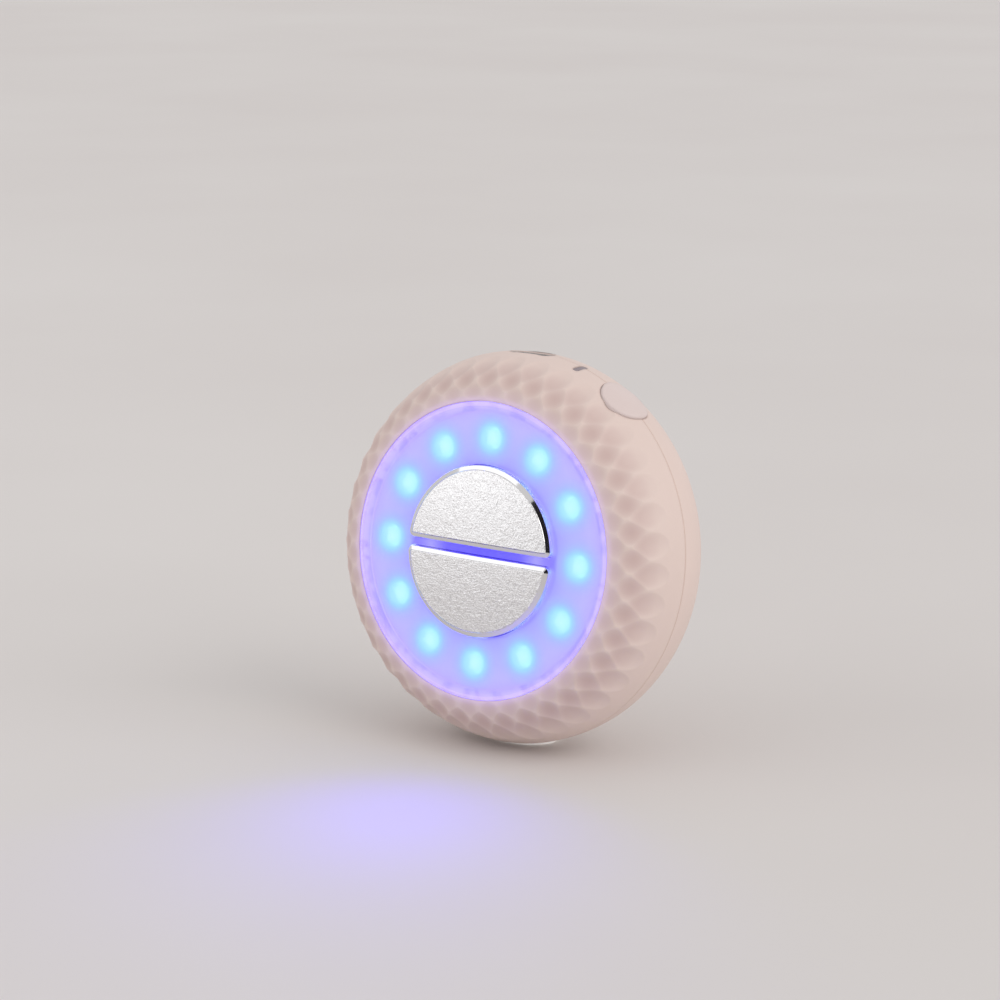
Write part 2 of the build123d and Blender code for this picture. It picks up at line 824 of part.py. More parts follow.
# Indicator lamp on the side board, where the light pipe's line meets it
with BuildPart() as indicator_led:
    with BuildSketch(rim_plane(button_angle, side_board_outer)):
        with Locations((side_board_outer * tan(indicator_turn), indicator_forward)):
            Rectangle(side_led_width, side_led_length)
    extrude(amount=side_led_height)
indicator_led.part.label = "indicator_led"
export_step(indicator_led.part, "parts/indicator_led.step")

# Indicator lens: a slot-shaped window with a flange and a light pipe
with BuildPart() as indicator_lens:
    with BuildSketch(meridian):
        turned_form(-indicator_recess)
    revolve(axis=device_axis)
    with BuildSketch(rim_plane(indicator_angle, indicator_flange_radius, indicator_forward)):
        SlotOverall(indicator_length, indicator_width, rotation=90)
    extrude(amount=2 * wall, mode=Mode.INTERSECT)
    with BuildSketch(rim_plane(indicator_angle, indicator_flange_radius, indicator_forward)):
        SlotOverall(
            indicator_length + 2 * indicator_flange_margin, indicator_width + 2 * indicator_flange_margin,
            rotation=90,
        )
    extrude(amount=-indicator_flange_thickness)
    with BuildSketch(rim_plane(indicator_angle, indicator_flange_radius, indicator_forward)):
        Circle(pipe_radius)
    extrude(amount=pipe_inner_end - indicator_flange_radius)
indicator_lens.part.label = "indicator_lens"
export_step(indicator_lens.part, "parts/indicator_lens.step")

# Charging socket: a metal shell, closed at the back, and its contact tongue
socket_back = socket_mouth - socket_length
with BuildPart() as charging_socket:
    with BuildSketch(rim_plane(0, socket_back)):
        SlotOverall(socket_width, socket_height)
    extrude(amount=socket_length)
    with BuildSketch(rim_plane(0, socket_back + socket_back_thickness)):
        SlotOverall(socket_width - 2 * socket_wall, socket_height - 2 * socket_wall)
    extrude(amount=socket_length, mode=Mode.SUBTRACT)
charging_socket.part.label = "charging_socket"
export_step(charging_socket.part, "parts/charging_socket.step")

with BuildPart() as socket_tongue:
    with BuildSketch(rim_plane(0, socket_back + socket_back_thickness)):
        Rectangle(tongue_plate_width, tongue_plate_thickness)
    extrude(amount=tongue_plate_reach)
socket_tongue.part.label = "socket_tongue"
export_step(socket_tongue.part, "parts/socket_tongue.step")

# Battery and the foam tape that holds it in the tray
with BuildPart() as battery_pad:
    with BuildSketch(level(chassis_back)):
        with Locations((0, battery_up)):
            Rectangle(battery_width - 2 * foam_margin, battery_height - 2 * foam_margin)
    extrude(amount=-foam_thickness)
battery_pad.part.label = "battery_pad"
export_step(battery_pad.part, "parts/battery_pad.step")

with BuildPart() as battery_cell:
    with BuildSketch(level(foam_back)):
        with Locations((0, battery_up)):
            Rectangle(battery_width, battery_height)
    extrude(amount=-battery_thickness)
    fillet(edges().filter_by(Axis.X), battery_round)
battery_cell.part.label = "battery_cell"
export_step(battery_cell.part, "parts/battery_cell.step")

# Vibration motor in its rubber mount, with the shaft along X
motor_face = motor_left + motor_length + motor_boss_length
with BuildPart() as motor_case:
    with BuildSketch(cross_plane(motor_left)):
        with Locations((motor_up, motor_axis_height)):
            Circle(motor_radius)
    extrude(amount=motor_length)
    with BuildSketch(cross_plane(motor_left + motor_length)):
        with Locations((motor_up, motor_axis_height)):
            Circle(motor_boss_radius)
    extrude(amount=motor_boss_length)
    with BuildSketch(cross_plane(motor_face)):
        with Locations((motor_up, motor_axis_height)):
            Circle(shaft_radius + shaft_clearance)
    extrude(amount=-shaft_inside - screw_tip_gap, mode=Mode.SUBTRACT)
motor_case.part.label = "motor_case"
export_step(motor_case.part, "parts/motor_case.step")

with BuildPart() as motor_mount:
    with BuildSketch(cross_plane(motor_centre - motor_mount_length / 2)):
        with Locations((motor_up, motor_axis_height)):
            RectangleRounded(motor_mount_width, motor_mount_width, motor_mount_wall)
            Circle(motor_radius + motor_mount_clearance, mode=Mode.SUBTRACT)
    extrude(amount=motor_mount_length)
motor_mount.part.label = "motor_mount"
export_step(motor_mount.part, "parts/motor_mount.step")

with BuildPart() as motor_shaft:
    with BuildSketch(cross_plane(motor_face - shaft_inside)):
        with Locations((motor_up, motor_axis_height)):
            Circle(shaft_radius)
    extrude(amount=shaft_inside + shaft_outside)
motor_shaft.part.label = "motor_shaft"
export_step(motor_shaft.part, "parts/motor_shaft.step")

with BuildPart() as eccentric_weight:
    with BuildSketch(cross_plane(motor_face + weight_gap)):
        with Locations((motor_up, motor_axis_height)):
            Circle(weight_radius)
            Rectangle(
                2 * weight_radius, 2 * weight_radius, align=(Align.MIN, Align.CENTER), mode=Mode.SUBTRACT
            )
            Circle(weight_hub_radius)
            Circle(shaft_radius + weight_fit, mode=Mode.SUBTRACT)
    extrude(amount=weight_length)
eccentric_weight.part.label = "eccentric_weight"
export_step(eccentric_weight.part, "parts/eccentric_weight.step")


# A pair of leads: each leaves its part, bends once and runs forward to the back of the main board
def lead_pair(starts, away):
    with BuildPart() as leads:
        for right, up, height in starts:
            start = device.from_local_coords(Vector(right, up, height))
            corner = device.from_local_coords(Vector(right, up, height) + away)
            end = device.from_local_coords(Vector(right + away.X, up + away.Y, main_board_back))
            with BuildLine() as route:
                FilletPolyline(start, corner, end, radius=lead_bend)
            with BuildSketch(Plane(origin=start, z_dir=corner - start)):
                Circle(lead_radius)
            sweep(path=route.line)
    return leads.part


battery_lead_height = foam_back - battery_thickness / 2
battery_leads = lead_pair(
    [(battery_lead_right + side * lead_pitch / 2, battery_top, battery_lead_height) for side in (-1, 1)],
    Vector(0, battery_lead_reach, 0),
)
battery_leads.label = "battery_leads"
export_step(battery_leads, "parts/battery_leads.step")

motor_leads = lead_pair(
    [(motor_left, motor_up + side * lead_pitch / 2, motor_axis_height) for side in (-1, 1)],
    Vector(-motor_lead_reach, 0, 0),
)
motor_leads.label = "motor_leads"
export_step(motor_leads, "parts/motor_leads.step")

# Soft stand pad, glued to its flat bearing under the rear shell
with BuildPart() as stand_pad:
    with BuildSketch(Plane.XY):
        with Locations((0, pad_back)):
            Ellipse(pad_half_width, pad_half_length)
    extrude(amount=pad_thickness)
    fillet(faces().sort_by(Axis.Z)[0].edges(), pad_edge)
stand_pad.part.label = "stand_pad"
export_step(stand_pad.part, "parts/stand_pad.step")
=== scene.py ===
import math

import bmesh
import bpy
from mathutils import Matrix, Vector


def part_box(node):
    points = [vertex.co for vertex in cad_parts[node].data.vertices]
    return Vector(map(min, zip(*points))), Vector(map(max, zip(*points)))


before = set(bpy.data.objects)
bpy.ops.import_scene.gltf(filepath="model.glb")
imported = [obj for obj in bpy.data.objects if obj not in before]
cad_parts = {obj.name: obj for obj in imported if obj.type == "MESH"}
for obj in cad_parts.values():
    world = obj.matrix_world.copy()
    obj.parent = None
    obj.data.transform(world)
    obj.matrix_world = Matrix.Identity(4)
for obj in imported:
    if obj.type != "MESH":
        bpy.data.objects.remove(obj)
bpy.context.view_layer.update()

# Camera: a short telephoto a little above the table, to the right of the lit face.
# It looks at a point just above the middle of the massager.
camera_turn = math.radians(34.83)
camera_rise = math.radians(13.12)
camera_distance = 0.58
look_at = Vector((-0.0022, -0.0023, 0.0454))
towards_camera = Vector((
    math.sin(camera_turn) * math.cos(camera_rise),
    -math.cos(camera_turn) * math.cos(camera_rise),
    math.sin(camera_rise),
))
camera_data = bpy.data.cameras.new("camera")
camera_data.lens = 114.58
camera_data.sensor_width = 36.0
camera = bpy.data.objects.new("camera", camera_data)
camera.location = look_at + towards_camera * camera_distance
camera.rotation_euler = towards_camera.to_track_quat("Z", "Y").to_euler()
bpy.context.collection.objects.link(camera)
bpy.context.scene.camera = camera
bpy.context.scene.view_settings.view_transform = "Standard"


# Table: a pale sheet of matt acrylic that spreads the glow softly.
# It is only the stage and lies just under the stand pad.
def linear(hex_code):
    """An sRGB hex colour as the linear RGBA that a socket takes"""
    channels = [int(hex_code[place:place + 2], 16) / 255 for place in (0, 2, 4)]
    return [c / 12.92 if c <= 0.04045 else ((c + 0.055) / 1.055) ** 2.4 for c in channels] + [1.0]


def add_node(tree, kind, sockets=None, stops=(), **settings):
    """Adds one node with its settings, its links or socket values, and the stops of a colour ramp"""
    node = tree.nodes.new(kind)
    for name, value in settings.items():
        setattr(node, name, value)
    for name, value in (sockets or {}).items():
        if isinstance(value, bpy.types.NodeSocket):
            tree.links.new(value, node.inputs[name])
        else:
            node.inputs[name].default_value = value
    for index, (place, shade) in enumerate(stops):
        ramp = node.color_ramp.elements
        stop = ramp[index] if index < 2 else ramp.new(place)
        stop.position = place
        stop.color = shade
    return node


def new_material(name):
    """An empty material: its node tree, its principled shader and its object coordinates"""
    material = bpy.data.materials.new(name)
    material.use_nodes = True
    tree = material.node_tree
    tree.nodes.clear()
    shader = add_node(tree, "ShaderNodeBsdfPrincipled")
    add_node(tree, "ShaderNodeOutputMaterial", {"Surface": shader.outputs["BSDF"]})
    place = add_node(tree, "ShaderNodeTexCoord").outputs["Object"]
    return material, tree, shader, place


table_radius = 3.0
table_drop = 0.00005
table_mesh = bpy.data.meshes.new("table")
form = bmesh.new()
bmesh.ops.create_circle(form, cap_ends=True, segments=96, radius=table_radius)
bmesh.ops.translate(form, verts=form.verts, vec=(0, 0, -table_drop))
form.to_mesh(table_mesh)
form.free()
table = bpy.data.objects.new("table", table_mesh)
bpy.context.collection.objects.link(table)

clouds_per_metre = 5.0  # 200 mm wide
matt_acrylic, tree, shader, place = new_material("matt_acrylic_sheet")
cloud = add_node(tree, "ShaderNodeTexNoise", {
    "Vector": place, "Scale": clouds_per_metre, "Detail": 3.0,
})
cloud_shade = add_node(tree, "ShaderNodeValToRGB", {"Fac": cloud.outputs["Fac"]}, stops=(
    (0.3, linear("DAD6D5")), (0.7, linear("DEDBDA")),
))
tree.links.new(cloud_shade.outputs["Color"], shader.inputs["Base Color"])
shader.inputs["Roughness"].default_value = 0.8
table_mesh.materials.append(matt_acrylic)

# Light: an even white room and one large soft light from the right, as from a wide window.
# A bright panel at the front left is what the chromed electrodes mirror.
world = bpy.data.worlds.new("studio")
bpy.context.scene.world = world
world.use_nodes = True
room = world.node_tree
room.nodes.clear()
room_light = add_node(room, "ShaderNodeBackground", {"Color": linear("FAF8F7"), "Strength": 0.76})
add_node(room, "ShaderNodeOutputWorld", {"Surface": room_light.outputs["Background"]})

towards_window = Vector((0.80, -0.02, 0.45))
window_data = bpy.data.lights.new("window", "SUN")
window_data.angle = math.radians(50)
window_data.energy = 0.9
window_data.color = linear("FFFAF5")[:3]
window = bpy.data.objects.new("window", window_data)
window.rotation_euler = towards_window.to_track_quat("Z", "Y").to_euler()
bpy.context.collection.objects.link(window)

panel_spot = Vector((-0.55, -0.67, 0.41))
panel_data = bpy.data.lights.new("front_panel", "AREA")
panel_data.shape = "RECTANGLE"
panel_data.size = 0.7
panel_data.size_y = 0.8
panel_data.energy = 1.05
panel = bpy.data.objects.new("front_panel", panel_data)
panel.location = panel_spot
panel.rotation_euler = (panel_spot - look_at).to_track_quat("Z", "Y").to_euler()
panel.visible_camera = False
bpy.context.collection.objects.link(panel)

# Black flag before the face: the electrodes' right-hand bevels mirror it as a dark line.
# It is a tall sheet of black card that belongs to the stage.
flag_spot = Vector((0.20, -0.69, 0.28))
flag_half_width = 0.09
flag_stretch = 3.0
flag_turn = math.radians(25)
flag_mesh = bpy.data.meshes.new("black_flag")
form = bmesh.new()
bmesh.ops.create_grid(form, x_segments=1, y_segments=1, size=flag_half_width)
bmesh.ops.scale(form, verts=form.verts, vec=(1, flag_stretch, 1))
bmesh.ops.rotate(form, verts=form.verts, matrix=Matrix.Rotation(flag_turn, 3, "Z"))
form.to_mesh(flag_mesh)
form.free()
flag = bpy.data.objects.new("black_flag", flag_mesh)
flag.location = flag_spot
flag.rotation_euler = (flag_spot - look_at).to_track_quat("Z", "Y").to_euler()
flag.visible_camera = False
bpy.context.collection.objects.link(flag)
card_fibres_per_metre = 300.0  # 3 mm long
black_card, tree, shader, place = new_material("black_card")
card_fibre = add_node(tree, "ShaderNodeTexNoise", {
    "Vector": place, "Scale": card_fibres_per_metre, "Detail": 4.0,
})
card_shade = add_node(tree, "ShaderNodeValToRGB", {"Fac": card_fibre.outputs["Fac"]}, stops=(
    (0.3, linear("120E14")), (0.7, linear("1C1820")),
))
tree.links.new(card_shade.outputs["Color"], shader.inputs["Base Color"])
shader.inputs["Roughness"].default_value = 0.9
flag_mesh.materials.append(black_card)

# Glow that leaves the face: the lamps shine forwards, so the table catches it some way in front.
# It is one round blue light just before the lens.
lean = math.radians(8)
forward = Vector((0, -math.cos(lean), math.sin(lean)))
ring_low, ring_high = (Vector(corner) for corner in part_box("led_chips"))
ring_middle = (ring_low + ring_high) / 2
lamps_to_glow = 0.018
glow_data = bpy.data.lights.new("face_glow", "AREA")
glow_data.shape = "DISK"
glow_data.size = 0.02
glow_data.spread = math.radians(100)
glow_data.energy = 0.006
glow_data.color = linear("4B00FF")[:3]
glow = bpy.data.objects.new("face_glow", glow_data)
glow.location = ring_middle + forward * lamps_to_glow
glow_target = Vector((0.016, -0.070, 0.0))
glow.rotation_euler = (glow.location - glow_target).to_track_quat("Z", "Y").to_euler()
glow.visible_camera = False
bpy.context.collection.objects.link(glow)


# Shells: two mouldings of ABS, painted blush pink with a matt soft-touch lacquer.
# The hollows of the gem cuts carry painted shade, deepest towards the face, so the ridges between them look
# paler.
# Next to the lens a painted violet glow stands in for the lens's light falling on the shell.
def dress(material, *names):
    """Gives CAD pieces their finish"""
    for name in names:
        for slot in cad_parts[name].material_slots:
            slot.material = material


def device_place(tree, place, height):
    """The device's own millimetres: right, up and out, from its axis at a height above the seam"""
    return add_node(tree, "ShaderNodeMapping", {
        "Vector": place, "Location": seam_middle + forward * height / 1000,
        "Rotation": (math.pi / 2 - lean, 0, 0), "Scale": (0.001, 0.001, 0.001),
    }, vector_type="TEXTURE").outputs["Vector"]


def polar(tree, spot):
    """Distance from the device axis and height along it"""
    flat = add_node(tree, "ShaderNodeVectorMath", {0: spot, 1: (1, 1, 0)}, operation="MULTIPLY")
    radius = add_node(tree, "ShaderNodeVectorMath", {0: flat.outputs["Vector"]}, operation="LENGTH")
    height = add_node(tree, "ShaderNodeSeparateXYZ", {"Vector": spot})
    return radius.outputs["Value"], height.outputs["Z"]


lacquer_grains_per_metre = 5000.0  # 0.2 mm wide


def lacquer(tree, shader, place, shade):
    """Finishes a soft-touch lacquer: rounded edges, a fine grain that only dulls it, and a matt gloss"""
    soft_edge = add_node(tree, "ShaderNodeBevel", {"Radius": 0.0006}, samples=6)
    grain = add_node(tree, "ShaderNodeTexNoise", {
        "Vector": place, "Scale": lacquer_grains_per_metre, "Detail": 2.0,
    })
    relief = add_node(tree, "ShaderNodeBump", {
        "Height": grain.outputs["Fac"], "Normal": soft_edge.outputs["Normal"],
        "Strength": 0.12, "Distance": 0.00002,
    })
    tree.links.new(shade, shader.inputs["Base Color"])
    tree.links.new(relief.outputs["Normal"], shader.inputs["Normal"])
    shader.inputs["Roughness"].default_value = 0.5
    shader.inputs["IOR"].default_value = 1.46


lamps_above_seam = 0.00925
seam_middle = ring_middle - forward * lamps_above_seam
# The crown's form in the device's millimetres. The terms of height and width add up to 1 on its
# uncut surface and to less in a cut.
face_height = 12.0
face_radius = 27.05
rim_radius = 36.0
front_flank = 1.43
front_crown = 2.13
ridge_form = 0.998
hollow_form = 0.935
painted_shade_fade_height = 5.5
painted_shade_full_height = 9.6
seam_shade = linear("E2CCC2")
front_lacquer, tree, shader, place = new_material("soft_touch_lacquer_gem_cut")
radius, height = polar(tree, device_place(tree, place, 0.0))
height_share = add_node(tree, "ShaderNodeMath", {0: height, 1: face_height}, operation="DIVIDE")
height_term = add_node(tree, "ShaderNodeMath", {
    0: height_share.outputs["Value"], 1: front_flank,
}, operation="POWER")
width_share = add_node(tree, "ShaderNodeMapRange", {
    "Value": radius, "From Min": face_radius, "From Max": rim_radius,
})
width_term = add_node(tree, "ShaderNodeMath", {
    0: width_share.outputs["Result"], 1: front_crown,
}, operation="POWER")
form_sum = add_node(tree, "ShaderNodeMath", {
    0: height_term.outputs["Value"], 1: width_term.outputs["Value"],
}, operation="ADD")
# Painted shade: the deeper a point lies in a cut, and the nearer it is to the face, the darker it is painted.
cut_depth = add_node(tree, "ShaderNodeMapRange", {
    "Value": form_sum.outputs["Value"], "From Min": ridge_form, "From Max": hollow_form,
})
shade_toward_face = add_node(tree, "ShaderNodeMapRange", {
    "Value": height, "From Min": painted_shade_fade_height, "From Max": painted_shade_full_height,
    "To Min": 0.1, "To Max": 1.0,
})
painted_shade_share = add_node(tree, "ShaderNodeMath", {
    0: cut_depth.outputs["Result"], 1: shade_toward_face.outputs["Result"],
}, operation="MULTIPLY")
painted_hollow_shade = add_node(tree, "ShaderNodeValToRGB", {"Fac": painted_shade_share.outputs["Value"]}, stops=(
    (0.0, linear("E4D1CA")), (0.3, linear("DDC8C2")), (1.0, linear("D1B8B3")),
))
seam_line = 0.05
seam_fade = 0.2
seam_share = add_node(tree, "ShaderNodeMapRange", {
    "Value": height, "From Min": seam_line, "From Max": seam_fade,
})
seam_tone = add_node(tree, "ShaderNodeMix", {
    "Factor": seam_share.outputs["Result"], "A": seam_shade, "B": painted_hollow_shade.outputs["Color"],
}, data_type="RGBA")
lacquer(tree, shader, place, seam_tone.outputs["Result"])
# Painted violet glow on the shell, fading out from the lens's rim.
painted_glow_start = 26.9
painted_glow_end = 33.0
painted_glow_share = add_node(tree, "ShaderNodeMapRange", {
    "Value": radius, "From Min": painted_glow_start, "From Max": painted_glow_end,
})
painted_violet_glow = add_node(tree, "ShaderNodeValToRGB", {"Fac": painted_glow_share.outputs["Result"]}, stops=(
    (0.0, linear("734BBC")), (0.1, linear("55359E")), (0.22, linear("271655")), (0.5, linear("000000")),
))
tree.links.new(painted_violet_glow.outputs["Color"], shader.inputs["Emission Color"])
shader.inputs["Emission Strength"].default_value = 0.5
dress(front_lacquer, "front_shell")

rear_mottles_per_metre = 70.0  # 14 mm wide
rear_lacquer, tree, shader, place = new_material("soft_touch_lacquer")
_, height = polar(tree, device_place(tree, place, 0.0))
tone = add_node(tree, "ShaderNodeTexNoise", {
    "Vector": place, "Scale": rear_mottles_per_metre, "Detail": 4.0,
})
shade = add_node(tree, "ShaderNodeValToRGB", {"Fac": tone.outputs["Fac"]}, stops=(
    (0.3, linear("E2CFC8")), (0.75, linear("E6D3CC")),
))
seam_share = add_node(tree, "ShaderNodeMapRange", {
    "Value": height, "From Min": -seam_line, "From Max": -seam_fade,
})
seam_tone = add_node(tree, "ShaderNodeMix", {
    "Factor": seam_share.outputs["Result"], "A": seam_shade, "B": shade.outputs["Color"],
}, data_type="RGBA")
lacquer(tree, shader, place, seam_tone.outputs["Result"])
dress(rear_lacquer, "rear_shell")

# Power button: a round ABS cap under the same lacquer, in a slightly cooler, paler pink.
# It runs free in its bore, so a fine dark gap shows round it.
button_mottles_per_metre = 120.0  # 8 mm wide
button_lacquer, tree, shader, place = new_material("soft_touch_button_lacquer")
tone = add_node(tree, "ShaderNodeTexNoise", {
    "Vector": place, "Scale": button_mottles_per_metre, "Detail": 4.0,
})
shade = add_node(tree, "ShaderNodeValToRGB", {"Fac": tone.outputs["Fac"]}, stops=(
    (0.3, linear("DDCDCA")), (0.75, linear("E1D2D0")),
))
lacquer(tree, shader, place, shade.outputs["Color"])
dress(button_lacquer, "power_button")


# Lit lens: violet polycarbonate over the lamps, lit all through, with a glowing rim.
# The lamps show as cyan cores that melt into the violet. Its sizes are in the device's millimetres.
lamp_count = 12
lamp_ring = 20.5
halo_radius = 5.6
lens_radius = 26.99


def lamp_glow(tree, place, low, high):
    """The pattern of light across the face, as a colour, on what lies between two heights above the seam"""
    spot = device_place(tree, place, 0.0)
    radius, height = polar(tree, spot)
    flat = add_node(tree, "ShaderNodeVectorMath", {0: spot, 1: (1, 1, 0)}, operation="MULTIPLY")
    nearest = None
    for turn in range(lamp_count):
        angle = turn * math.tau / lamp_count
        centre = (lamp_ring * math.sin(angle), lamp_ring * math.cos(angle), 0)
        gap = add_node(tree, "ShaderNodeVectorMath", {
            0: flat.outputs["Vector"], 1: centre,
        }, operation="DISTANCE")
        if nearest is None:
            nearest = gap.outputs["Value"]
        else:
            nearest = add_node(tree, "ShaderNodeMath", {0: nearest, 1: gap.outputs["Value"]},
                               operation="MINIMUM").outputs["Value"]
    field = add_node(tree, "ShaderNodeMapRange", {
        "Value": radius, "From Min": 0.0, "From Max": lens_radius,
    })
    field_colour = add_node(tree, "ShaderNodeValToRGB", {"Fac": field.outputs["Result"]}, stops=(
        (0.0, linear("5040FF")), (0.3, linear("5848FF")), (0.43, linear("A49EFF")),
        (0.5, linear("8478FF")), (0.575, linear("6A58FF")), (0.6, linear("9E9EFC")),
        (0.7, linear("AEB2FA")), (0.86, linear("BCB8FA")), (0.935, linear("B8ACFA")),
        (0.96, linear("CABAFF")), (1.0, linear("D6C4FF")),
    ))
    share = add_node(tree, "ShaderNodeMapRange", {
        "Value": nearest, "From Min": 0.0, "From Max": halo_radius,
    })
    core = add_node(tree, "ShaderNodeValToRGB", {"Fac": share.outputs["Result"]}, stops=(
        (0.0, linear("BCFFFF")), (0.3, linear("A8FFFF")), (0.45, linear("8CE6FF")),
        (0.62, linear("96C6FF")), (1.0, linear("AAB4FC")),
    ))
    fade = add_node(tree, "ShaderNodeValToRGB", {"Fac": share.outputs["Result"]}, stops=(
        (0.0, (0, 0, 0, 1)), (0.45, (0.08, 0.08, 0.08, 1)), (1.0, (1, 1, 1, 1)),
    ))
    pattern = add_node(tree, "ShaderNodeMix", {
        "Factor": fade.outputs["Color"], "A": core.outputs["Color"], "B": field_colour.outputs["Color"],
    }, data_type="RGBA")
    lit = add_node(tree, "ShaderNodeMath", {
        0: height, 1: (low + high) / 2, 2: (high - low) / 2,
    }, operation="COMPARE")
    seen = add_node(tree, "ShaderNodeMix", {
        "Factor": lit.outputs["Value"], "A": (0, 0, 0, 1), "B": pattern.outputs["Result"],
    }, data_type="RGBA")
    return seen.outputs["Result"]


film_middle = 25.75
film_half_width = 0.5
lens_rim = film_middle + film_half_width
lit_lens, tree, shader, place = new_material("violet_lit_polycarbonate")
radius, _ = polar(tree, device_place(tree, place, 0.0))
over_film = add_node(tree, "ShaderNodeMath", {
    0: radius, 1: film_middle, 2: film_half_width,
}, operation="COMPARE")
film_share = add_node(tree, "ShaderNodeMix", {
    "Factor": over_film.outputs["Value"], "A": lamp_glow(tree, place, low=10.0, high=11.0), "B": (0, 0, 0, 1),
}, data_type="RGBA")
at_rim = add_node(tree, "ShaderNodeMath", {0: radius, 1: lens_rim}, operation="GREATER_THAN")
rim_share = add_node(tree, "ShaderNodeMix", {
    "Factor": at_rim.outputs["Value"], "A": film_share.outputs["Result"], "B": linear("6451D0"),
}, data_type="RGBA")
tree.links.new(rim_share.outputs["Result"], shader.inputs["Emission Color"])
shader.inputs["Emission Strength"].default_value = 0.55
shader.inputs["Base Color"].default_value = linear("E0DEFF")
shader.inputs["Roughness"].default_value = 0.32
shader.inputs["IOR"].default_value = 1.49
shader.inputs["Transmission Weight"].default_value = 0.9
dress(lit_lens, "face_lens")

# Reflector: a white moulding with a pocket round each lamp, seen through the lens.
# The lamps flood it, so it carries the same pattern of light.
lit_reflector, tree, shader, place = new_material("flooded_white_reflector")
tree.links.new(lamp_glow(tree, place, low=8.0, high=11.0), shader.inputs["Emission Color"])
shader.inputs["Emission Strength"].default_value = 0.45
shader.inputs["Base Color"].default_value = linear("77759A")
shader.inputs["Roughness"].default_value = 0.5
dress(lit_reflector, "light_reflector")

# Gasket: milky adhesive film, cut from sheet, between the lens and its ledge.
# The lens lights it through from its edge, so it shows as a brighter ring just inside the rim.
lit_film, tree, shader, place = new_material("lit_milky_adhesive_film")
tree.links.new(lamp_glow(tree, place, low=9.5, high=11.0), shader.inputs["Emission Color"])
shader.inputs["Emission Strength"].default_value = 1.0
shader.inputs["Base Color"].default_value = linear("77759A")
shader.inputs["Roughness"].default_value = 0.6
dress(lit_film, "lens_gasket")

# Lamps: white ceramic packages with a clear dome, lit bright cyan.
# They sit in the reflector's pockets.
lamp_body, tree, shader, place = new_material("lit_lamp_package")
tree.links.new(lamp_glow(tree, place, low=8.0, high=11.0), shader.inputs["Emission Color"])
shader.inputs["Emission Strength"].default_value = 0.5
shader.inputs["Base Color"].default_value = linear("9AA0A8")
dress(lamp_body, "led_chips")

# Electrodes: zinc castings with bright chrome, their domed faces etched to a fine orange-peel grain.
# A few soft ripples of the casting lie under the grain, and the bevels stay polished.
# The grain is drawn a little coarser than it is, so that it can be seen.
peels_per_metre = 3600.0  # 0.28 mm wide
ripples_per_metre = 700.0  # 1.4 mm wide
dome_top = 13.45
dome_diameter = 401.0
polish_below = -0.06
grain_above = -0.01
etched_chrome, tree, shader, place = new_material("etched_chrome")
radius, height = polar(tree, device_place(tree, place, dome_top))
dome_drop = add_node(tree, "ShaderNodeMath", {0: radius, 1: 2.0}, operation="POWER")
above_dome = add_node(tree, "ShaderNodeMath", {
    0: dome_drop.outputs["Value"], 1: 1 / dome_diameter, 2: height,
}, operation="MULTIPLY_ADD")
grain_share = add_node(tree, "ShaderNodeMapRange", {
    "Value": above_dome.outputs["Value"], "From Min": polish_below, "From Max": grain_above,
})
peel = add_node(tree, "ShaderNodeTexNoise", {
    "Vector": place, "Scale": peels_per_metre, "Detail": 2.0, "Roughness": 0.6,
})
peel_tone = add_node(tree, "ShaderNodeValToRGB", {"Fac": peel.outputs["Fac"]}, stops=(
    (0.35, linear("D6D6D8")), (0.55, linear("ECECEE")),
))
peel_height = add_node(tree, "ShaderNodeMath", {
    0: peel.outputs["Fac"], 1: grain_share.outputs["Result"],
}, operation="MULTIPLY")
ripple = add_node(tree, "ShaderNodeTexNoise", {
    "Vector": place, "Scale": ripples_per_metre, "Detail": 2.0, "Distortion": 0.8,
})
ripple_height = add_node(tree, "ShaderNodeMath", {
    0: ripple.outputs["Fac"], 1: grain_share.outputs["Result"],
}, operation="MULTIPLY")
ripple_relief = add_node(tree, "ShaderNodeBump", {
    "Height": ripple_height.outputs["Value"], "Strength": 0.8, "Distance": 0.00009,
})
relief = add_node(tree, "ShaderNodeBump", {
    "Height": peel_height.outputs["Value"], "Normal": ripple_relief.outputs["Normal"],
    "Strength": 0.8, "Distance": 0.00007,
})
chrome_tone = add_node(tree, "ShaderNodeMix", {
    "Factor": grain_share.outputs["Result"], "A": linear("E6E6E8"), "B": peel_tone.outputs["Color"],
}, data_type="RGBA")
gloss = add_node(tree, "ShaderNodeMapRange", {
    "Value": grain_share.outputs["Result"], "To Min": 0.08, "To Max": 0.16,
})
tree.links.new(chrome_tone.outputs["Result"], shader.inputs["Base Color"])
tree.links.new(relief.outputs["Normal"], shader.inputs["Normal"])
tree.links.new(gloss.outputs["Result"], shader.inputs["Roughness"])
shader.inputs["Metallic"].default_value = 1.0
dress(etched_chrome, "upper_electrode", "lower_electrode")

# Indicator: a smoked polycarbonate light pipe, glossy and dark from outside.
# It is set flush beside the button.
smoke_per_metre = 400.0  # wisps 2.5 mm wide
smoked, tree, shader, place = new_material("smoked_polycarbonate")
smoke = add_node(tree, "ShaderNodeTexNoise", {"Vector": place, "Scale": smoke_per_metre})
smoke_colour = add_node(tree, "ShaderNodeValToRGB", {"Fac": smoke.outputs["Fac"]}, stops=(
    (0.3, linear("857880")), (0.7, linear("908389")),
))
tree.links.new(smoke_colour.outputs["Color"], shader.inputs["Base Color"])
shader.inputs["Roughness"].default_value = 0.15
dress(smoked, "indicator_lens")
